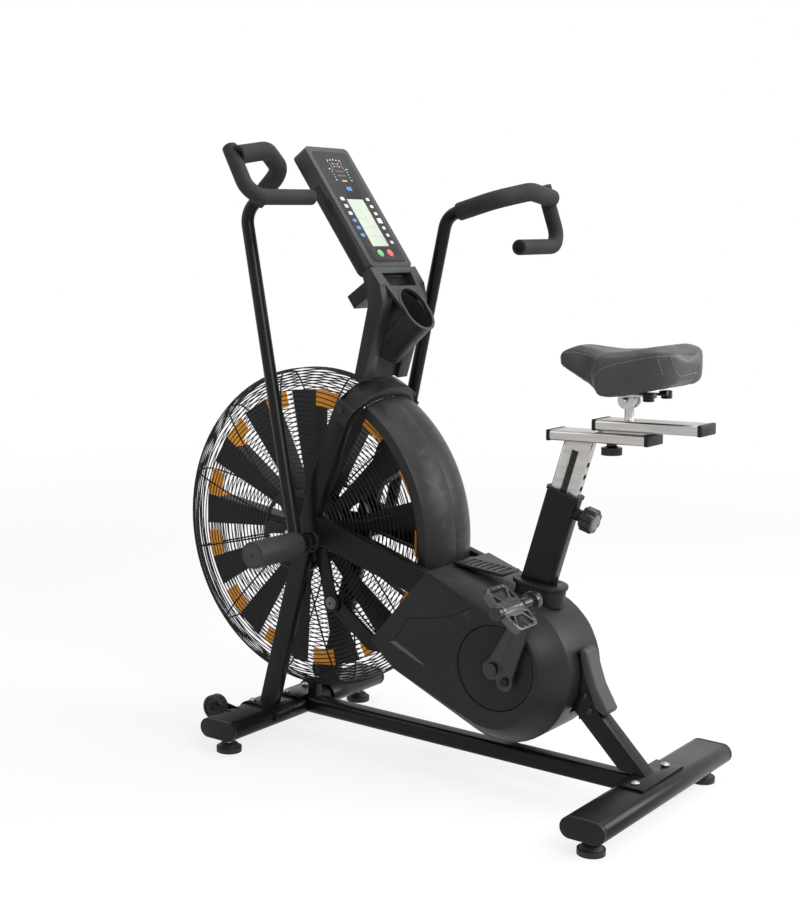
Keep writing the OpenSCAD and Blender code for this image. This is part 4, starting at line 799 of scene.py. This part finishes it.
def buildPedal(word, side):
    middle = -(pedal["inner"] + pedal["half"])
    flat = Matrix.Translation((0, middle / 1000, pedal["height"] / 2000))
    flat = flat @ Matrix.Rotation(math.radians(-90), 4, "X")
    high = Matrix.Translation((0, 0, 0.1))
    platform = plate(word + "PedalCage", pedalOutline, pedal["height"], flat)
    cutters = []
    for turn in (1, -1):
        for outline in pedalWindows:
            ring = [(x * turn, y) for x, y in outline]
            cutters.append(cleanMesh(plate("pedalWindow", ring, 300, high @ flat)))
    cutOut(platform, cutters)
    softenEdges(platform, 1.2, 2)
    y0, y1 = -(pedal["inner"] + 2 * pedal["half"]), -pedal["inner"]
    slim = pedal["barrel"] - 2
    barrel = [(7.2, y1), (slim, y1), (pedal["barrel"], y1 - 3), (pedal["barrel"], y1 - 14), (slim, y1 - 18),
              (slim, y0 + 20), (pedal["barrel"], y0 + 16), (pedal["barrel"], y0 + 3), (slim, y0), (7.2, y0)]
    tube = softenEdges(spinProfile(word + "PedalBarrel", barrel, steps=40), 0)
    pins = []
    for x, y in [(-46, -18), (-46, 0), (-46, 18), (46, -18), (46, 0), (46, 18), (-30, -35), (30, -35),
                 (-30, 35), (30, 35)]:
        for face in (-1, 1):
            z = face * pedal["height"] / 2
            pin = [(0, z - face), (1.8, z - face), (1.8, z + face * 2.4), (1.2, z + face * 3),
                   (0, z + face * 3)]
            centre = Vector((x, y + middle, 0)) / 1000
            pins.append(spinProfile("pedalPin", pin, centre, axis=(0, 0, 1), steps=8, closed=False))
    alloy = joinPieces([platform] + pins, word + "PedalCage")
    block = roundedBox(word + "PedalBody", (-11, y0 + 4, -8), (11, y1 - 4, 8), 3)
    dark = joinPieces([tube, block], word + "PedalBody")
    sign = 1 if side < 0 else -1
    axle = crankAt + Vector((sign * pedal["crank"][0], 0, sign * pedal["crank"][1])) / 1000
    pedalFrame = Matrix.Translation(axle) @ turnedAboutY(pedal["tilt"])
    if side > 0:
        pedalFrame = pedalFrame @ Matrix.Diagonal((1, -1, 1, 1))
    for piece in (alloy, dark):
        settle(piece, pedalFrame)
        if side > 0:
            cleanMesh(piece)
    finishPiece(alloy, "pedalAlloy", word + "_pedal", (word + "_pedal",))
    finishPiece(dark, "pedalAlloy", word + "_pedal")


for side, word in bothSides:
    buildPedal(word, side)
print("pedals done")


pullKnob = dict(along=155.54, start=53.3, radius=25, length=26, lobes=8)
slideKnob = dict(x=66, top=-9, radius=20, length=15, flutes=18)


def lobedOutline(radius, lobes, depth, points=96):
    outline = []
    for i in range(points):
        angle = math.tau * i / points
        r = radius - depth * (0.5 + 0.5 * math.cos(lobes * angle)) ** 3
        outline.append((r * math.cos(angle), r * math.sin(angle)))
    return outline


lean = math.radians(seatTube["lean"])
pinPlace = spot(seatTube["x"] + pullKnob["along"] * math.sin(lean), 0,
                seatTube["z"] + pullKnob["along"] * math.cos(lean))
# The knob's own Y axis points out of the sleeve, square to it
outOfSleeve = Vector((math.cos(lean), 0, -math.sin(lean)))
pinTurn = outOfSleeve.to_track_quat("Y", "Z").to_matrix().to_4x4()
pinFrame = Matrix.Translation(pinPlace) @ pinTurn
knob = plate("pullKnob", lobedOutline(pullKnob["radius"], pullKnob["lobes"], 3.2), pullKnob["length"],
             Matrix.Translation((0, pullKnob["start"] / 1000, 0)))
softenEdges(knob, 3.0, 3, 50)
end = pullKnob["start"] + pullKnob["length"]
stem = softenEdges(spinProfile("pullKnobStem", [(0, 30), (5.9, 30), (5.9, 52), (11, 52.5), (12, 55),
                                                (0, 55)], steps=32, closed=False), 0)
settle(knob, pinFrame)
settle(stem, pinFrame)
finishPiece(joinPieces([knob, stem], "pullKnob"), "glossBlack", "pull_pin", ("pull_pin",))
dish = softenEdges(spinProfile("pullKnobCap", [(0, end + 0.6), (9, end + 0.8), (15, end + 0.2),
                                               (16.5, end - 1), (0, end - 2)], steps=48, closed=False), 0)
finishPiece(settle(dish, pinFrame), "capGrey", "pull_pin")

knobOrigin = Vector((slideKnob["x"], 0, slideKnob["top"])) / 1000
knobFrame = railFrame @ Matrix.Translation(knobOrigin) @ Matrix.Rotation(math.radians(-90), 4, "X")
lower = plate("slideKnob", lobedOutline(slideKnob["radius"], slideKnob["flutes"], 1.6, 144),
              slideKnob["length"], knobFrame)
softenEdges(lower, 2.0, 3, 50)
neck = softenEdges(spinProfile("slideKnobNeck", [(0, 0), (15, 0), (10, -3), (9, -9), (6, -9), (0, -9)],
                               steps=32, closed=False), 0)
settle(neck, knobFrame)
finishPiece(joinPieces([lower, neck], "slideKnob"), "glossBlack", "slide_knob", ("slide_knob",))

stemFrom = 0.0185  # where a foot's steel stem begins, above the floor
for place in ("front_left", "front_right", "rear_left", "rear_right"):
    node = place + "_foot"
    foot = finishPiece(softCopy(node, 1.2), "rubberBlack", node, (node,))
    secondFinish(foot, "boltSteel", lambda place: place.z > stemFrom)
print("knobs and feet done")

# Caps on the seat rails' ends, and the strip in the post's groove
railEnds = dict(length=8, proud=0.8, halfWide=32, high=20)
railSpans = {"lower": (-58, 156, 0, "seat_column"), "upper": (40, 262, 25, "seat_slider")}
for name, (begin, end, low, body) in railSpans.items():
    caps = []
    proud, wide = railEnds["proud"], railEnds["halfWide"] + railEnds["proud"]
    for x0, x1 in ((begin - 1, begin + railEnds["length"]), (end - railEnds["length"], end + 1)):
        caps.append(roundedBox(name + "RailCap", (x0, -wide, low - proud),
                               (x1, wide, low + railEnds["high"] + proud), 2.2, railFrame))
    finishPiece(joinPieces(caps, name + "RailCaps"), "mouldedBlack", body)

strip = dict(face=11, wide=13, low=14, high=286, pitch=12.5, hole=4.2)
stripBar = roundedBox("postStrip", (-strip["wide"] / 2, -strip["face"] + 0.1, strip["low"]),
                      (strip["wide"] / 2, -strip["face"] + 0.7, strip["high"]), 0.2)
studs = []
for i in range(int((strip["high"] - strip["low"]) / strip["pitch"])):
    height = strip["low"] + (i + 0.5) * strip["pitch"]
    radius = strip["hole"] * (1 if i % 2 else 0.7)
    face = strip["face"]
    stud = [(0, face - 0.15), (radius - 1.2, face - 0.15), (radius - 0.8, face + 0.1),
            (radius, face + 0.1), (radius, face - 0.4)]
    studs.append(spinProfile("stud", [(r, -h) for r, h in stud], Vector((0, 0, height / 1000)),
                             steps=20, closed=False))
studRow = joinPieces(studs, "postStripStuds")
finishPiece(settle(stripBar, tubeFrame), "glossBlack", "seat_column")
finishPiece(settle(studRow, tubeFrame), "mouldedBlack", "seat_column")
print("rail caps and post strip done")


console = dict(x=-635, z=1018, lean=36.9)
headFrame = Matrix.Translation(spot(console["x"], 0, console["z"])) @ turnedAboutY(-console["lean"])
# Outlines on the face are drawn as (across, up) and thickened out of it
faceTurn = Matrix(((0, 1, 0, 0), (1, 0, 0, 0), (0, 0, 1, 0), (0, 0, 0, 1)))


def faceShape(name, outline, low, thick):
    onHead = headFrame @ Matrix.Translation((low / 1000, 0, 0)) @ faceTurn
    return cleanMesh(settle(plate(name, outline, thick), onHead))


panel = faceShape("consolePanel", roundedOutline(0, 150, 118, 276, 9), -0.6, 1.2)
lcdHole = faceShape("hole", roundedOutline(0, 110, 58, 118, 1.5), -5, 20)
buttonHoles = [faceShape("hole", roundedOutline(y, 34, 18.8, 18.8, 9.39, 10), -5, 20) for y in (-17, 17)]
cutOut(panel, [lcdHole] + buttonHoles)
finishPiece(softenEdges(panel, 0.35), "mouldedGrey", "frame")

keyRows = dict(first=168, pitch=18, side=44)
whiteKeys, blueKeys = [], []
for i in range(6):
    up = keyRows["first"] - i * keyRows["pitch"]
    key = faceShape("key", roundedOutline(-keyRows["side"], up, 12.5, 8.5, 2), 0.5, 0.8)
    (whiteKeys if i < 3 else blueKeys).append(key)
for i in range(7):
    up = keyRows["first"] - i * keyRows["pitch"]
    size = (15, 13) if i == 3 else (10.5, 7.5)
    whiteKeys.append(faceShape("key", roundedOutline(keyRows["side"], up, *size, 1.8), 0.5, 0.8))
for key in whiteKeys + blueKeys:
    softenEdges(key, 0.3)
finishPiece(joinPieces(whiteKeys, "whiteKeys"), "keyWhite", "frame", ("keypad",))
finishPiece(joinPieces(blueKeys, "blueKeys"), "keyBlue", "frame")

# Faint dividing lines on the liquid crystal
inkLines = [faceShape("ink", roundedOutline(0, up, 52, 0.7, 0.3, 1), -0.45, 0.12)
            for up in (76, 98, 120, 142)]
inkLines.append(faceShape("ink", roundedOutline(0, 110, 0.7, 108, 0.3, 1), -0.45, 0.12))
finishPiece(joinPieces(inkLines, "screenLines"), "screenInk", "frame")

# A printed gauge above the display, made of ticks, with two small windows under it
ticks, redTicks = [], []


def tick(across, up, wide, high, rows):
    outline = roundedOutline(across, up, wide, high, min(wide, high) * 0.3, 1)
    rows.append(faceShape("tick", outline, 0.5, 0.35))


for i in range(5):
    tick(-20 + 10 * i, 268 - 1.2 * abs(i - 2), 4, 2.2, ticks)
    tick(-9 + 4.5 * i, 258 - 2 * (i % 2), 3, 2.6, redTicks if 0 < i < 4 else ticks)
    tick(-9 + 4.5 * i, 250 + 1.5 * (i % 2), 3, 2.2, redTicks if i in (1, 2) else ticks)
for side in (-1, 1):
    for i in range(5):
        across = 29 - 5 * math.sin(math.pi * i / 5)
        tick(side * across, 244 - 7 * i, 6 if i in (0, 4) else 3.2, 1.8, ticks)
        tick(side * (across - 6), 262 - 5 * i, 2, 1.6, ticks)
finishPiece(joinPieces(ticks, "gaugeTicks"), "keyWhite", "frame")
finishPiece(joinPieces(redTicks, "gaugeRedTicks"), "stopRed", "frame")
windows = [faceShape("window", roundedOutline(0, up, 30, 4.5, 1, 2), 0.5, 0.4) for up in (238, 227)]
finishPiece(joinPieces(windows, "gaugeWindows"), "satinGrey", "frame")
finishPiece(faceShape("yellowMark", roundedOutline(0, 214, 17, 3, 0.8, 2), 0.5, 0.35), "keyYellow", "frame")
finishPiece(faceShape("blueMark", roundedOutline(0, 194, 17, 10, 1, 2), 0.5, 0.4), "keyBlue", "frame")

# Trim rails down both sides of the head
trims = []
for side in (-1, 1):
    inner, outer = sorted((side * 72, side * 75.6))
    trims.append(roundedBox("trim", (-34, inner, 2), (-13, outer, 212), 3, headFrame))
finishPiece(joinPieces(trims, "consoleTrims"), "mouldedBlack", "frame")
gaps = [roundedBox("gap", (-12.6, side * 73.1 - 0.5, 52), (-9.4, side * 73.1 + 0.5, 214), 0.4, headFrame)
        for side in (-1, 1)]
finishPiece(joinPieces(gaps, "consoleGaps"), "glossBlack", "frame")

# The rim round the cup holder, and the lighter face that leads down to it
cupHolder = dict(up=-101, spread=18, radius=44.2, hole=38.4)
rimOuter = roundedOutline(0, cupHolder["up"], 2 * cupHolder["radius"],
                          2 * cupHolder["radius"] + cupHolder["spread"], cupHolder["radius"] - 0.1, 16)
rimInner = roundedOutline(0, cupHolder["up"], 2 * cupHolder["hole"],
                          2 * cupHolder["hole"] + cupHolder["spread"], cupHolder["hole"] - 0.1, 16)
rim = faceShape("cupRim", rimOuter, -0.4, 2.0)
cutOut(rim, [faceShape("hole", rimInner, -5, 20)])
finishPiece(softenEdges(rim, 0.6, 3), "caseGrey", "frame")
fromHead = headFrame.inverted()
secondFinish(dressed["console_mast"], "caseGrey", lambda place: (fromHead @ place).x > -0.0015)
print("console done")


view = dict(x=1253.89, y=-2703.26, z=1136.07, yaw=0.602334, pitch=-0.151516, roll=0.028015, lens=63.63)
forward = Vector((-math.sin(view["yaw"]) * math.cos(view["pitch"]),
                  math.cos(view["yaw"]) * math.cos(view["pitch"]), math.sin(view["pitch"])))
right = forward.cross(Vector((0, 0, 1))).normalized()
upward = right.cross(forward)
rollCos, rollSin = math.cos(view["roll"]), math.sin(view["roll"])
sideways = rollCos * right + rollSin * upward
upright = -rollSin * right + rollCos * upward
lens = bpy.data.cameras.new("studioCamera")
lens.lens = view["lens"]
lens.sensor_width = 36
lens.clip_end = 60
cameraObject = addObject("studioCamera", lens)
turn = Matrix((sideways, upright, -forward)).transposed().to_4x4()
cameraObject.matrix_world = Matrix.Translation(spot(view["x"], view["y"], view["z"])) @ turn
bpy.context.scene.camera = cameraObject

lamps = {
    # name: place and target from the bike's middle in metres, size, power in watts
    "keyLamp": dict(place=(3.0, -1.3, 2.7), target=(0, 0, 0.6), size=1.8, power=84),
    "fillLamp": dict(place=(-2.6, -2.2, 2.2), target=(-0.2, 0, 0.6), size=2.0, power=17),
    "topLamp": dict(place=(0.6, 0.5, 3.2), target=(0, 0, 0.4), size=2.2, power=64),
    "rearLamp": dict(place=(2.4, 1.8, 1.8), target=(0.2, 0, 0.6), size=1.5, power=64),
}
for name, lamp in lamps.items():
    light = bpy.data.lights.new(name, "AREA")
    light.size = lamp["size"]
    light.energy = lamp["power"]
    holder = addObject(name, light)
    aim = Vector(lamp["target"]) - Vector(lamp["place"])
    turn = aim.to_track_quat("-Z", "Y").to_matrix().to_4x4()
    holder.matrix_world = Matrix.Translation(lamp["place"]) @ turn


def seenDirectly(tree):
    # 1 for what the camera, a reflection or clear glass shows, 0 for the light that falls on pieces
    rays = addNode(tree, "LightPath")
    total = rays.outputs["Is Camera Ray"]
    for kind in ("Is Glossy Ray", "Is Transmission Ray"):
        either = addNode(tree, "Math", "MAXIMUM")
        tree.links.new(total, either.inputs[0])
        tree.links.new(rays.outputs[kind], either.inputs[1])
        total = either.outputs[0]
    return total


def mixShaders(tree, share, first, second, surface):
    mix = addNode(tree, "MixShader")
    sources = (share, first.outputs[0], second.outputs[0])
    for source, entry in zip(sources, mix.inputs):
        tree.links.new(source, entry)
    tree.links.new(mix.outputs["Shader"], surface)


sky = dict(diffuse=0.34, seen=1.0)
world = bpy.data.worlds.new("studio")
bpy.context.scene.world = world
world.use_nodes = True
tree = world.node_tree
soft = setInputs(tree.nodes["Background"], dict(Color=(1, 1, 1, 1), Strength=sky["diffuse"]))
white = addNode(tree, "Background", Color=(1, 1, 1, 1), Strength=sky["seen"])
mixShaders(tree, seenDirectly(tree), soft, white, tree.nodes["World Output"].inputs["Surface"])

floorLook = dict(size=90, colour=(0.90, 0.90, 0.90), near=0.80, nearReach=1.2, farReach=4.5)
bpy.ops.object.select_all(action="DESELECT")
bpy.ops.mesh.primitive_grid_add(x_subdivisions=4, y_subdivisions=4, size=floorLook["size"])
floor = bpy.context.object
floor.name = "studioFloor"
paper = bpy.data.materials.new("paleFloor")
paper.use_nodes = True
tree = paper.node_tree
matt = setInputs(tree.nodes["Principled BSDF"], {"Base Color": (*floorLook["colour"], 1),
                                                 "Roughness": 0.9, "Specular IOR Level": 0.1})
glow = addNode(tree, "Emission", Color=(1, 1, 1, 1))
# The paper goes to pure white away from the bike, so that no horizon shows
where = addNode(tree, "TexCoord")
distance = addNode(tree, "VectorMath", "LENGTH")
fade = addNode(tree, "MapRange", **{"From Min": floorLook["nearReach"], "From Max": floorLook["farReach"],
                                    "To Min": floorLook["near"], "To Max": 1})
fade.interpolation_type = "SMOOTHSTEP"
portion = addNode(tree, "Math", "MULTIPLY")
link = tree.links.new
link(where.outputs["Object"], distance.inputs[0])
link(distance.outputs["Value"], fade.inputs["Value"])
link(seenDirectly(tree), portion.inputs[0])
link(fade.outputs["Result"], portion.inputs[1])
mixShaders(tree, portion.outputs[0], matt, glow, tree.nodes["Material Output"].inputs["Surface"])
floor.data.materials.append(paper)
bpy.context.scene.view_settings.view_transform = "Standard"
print("camera, lamps and floor done")
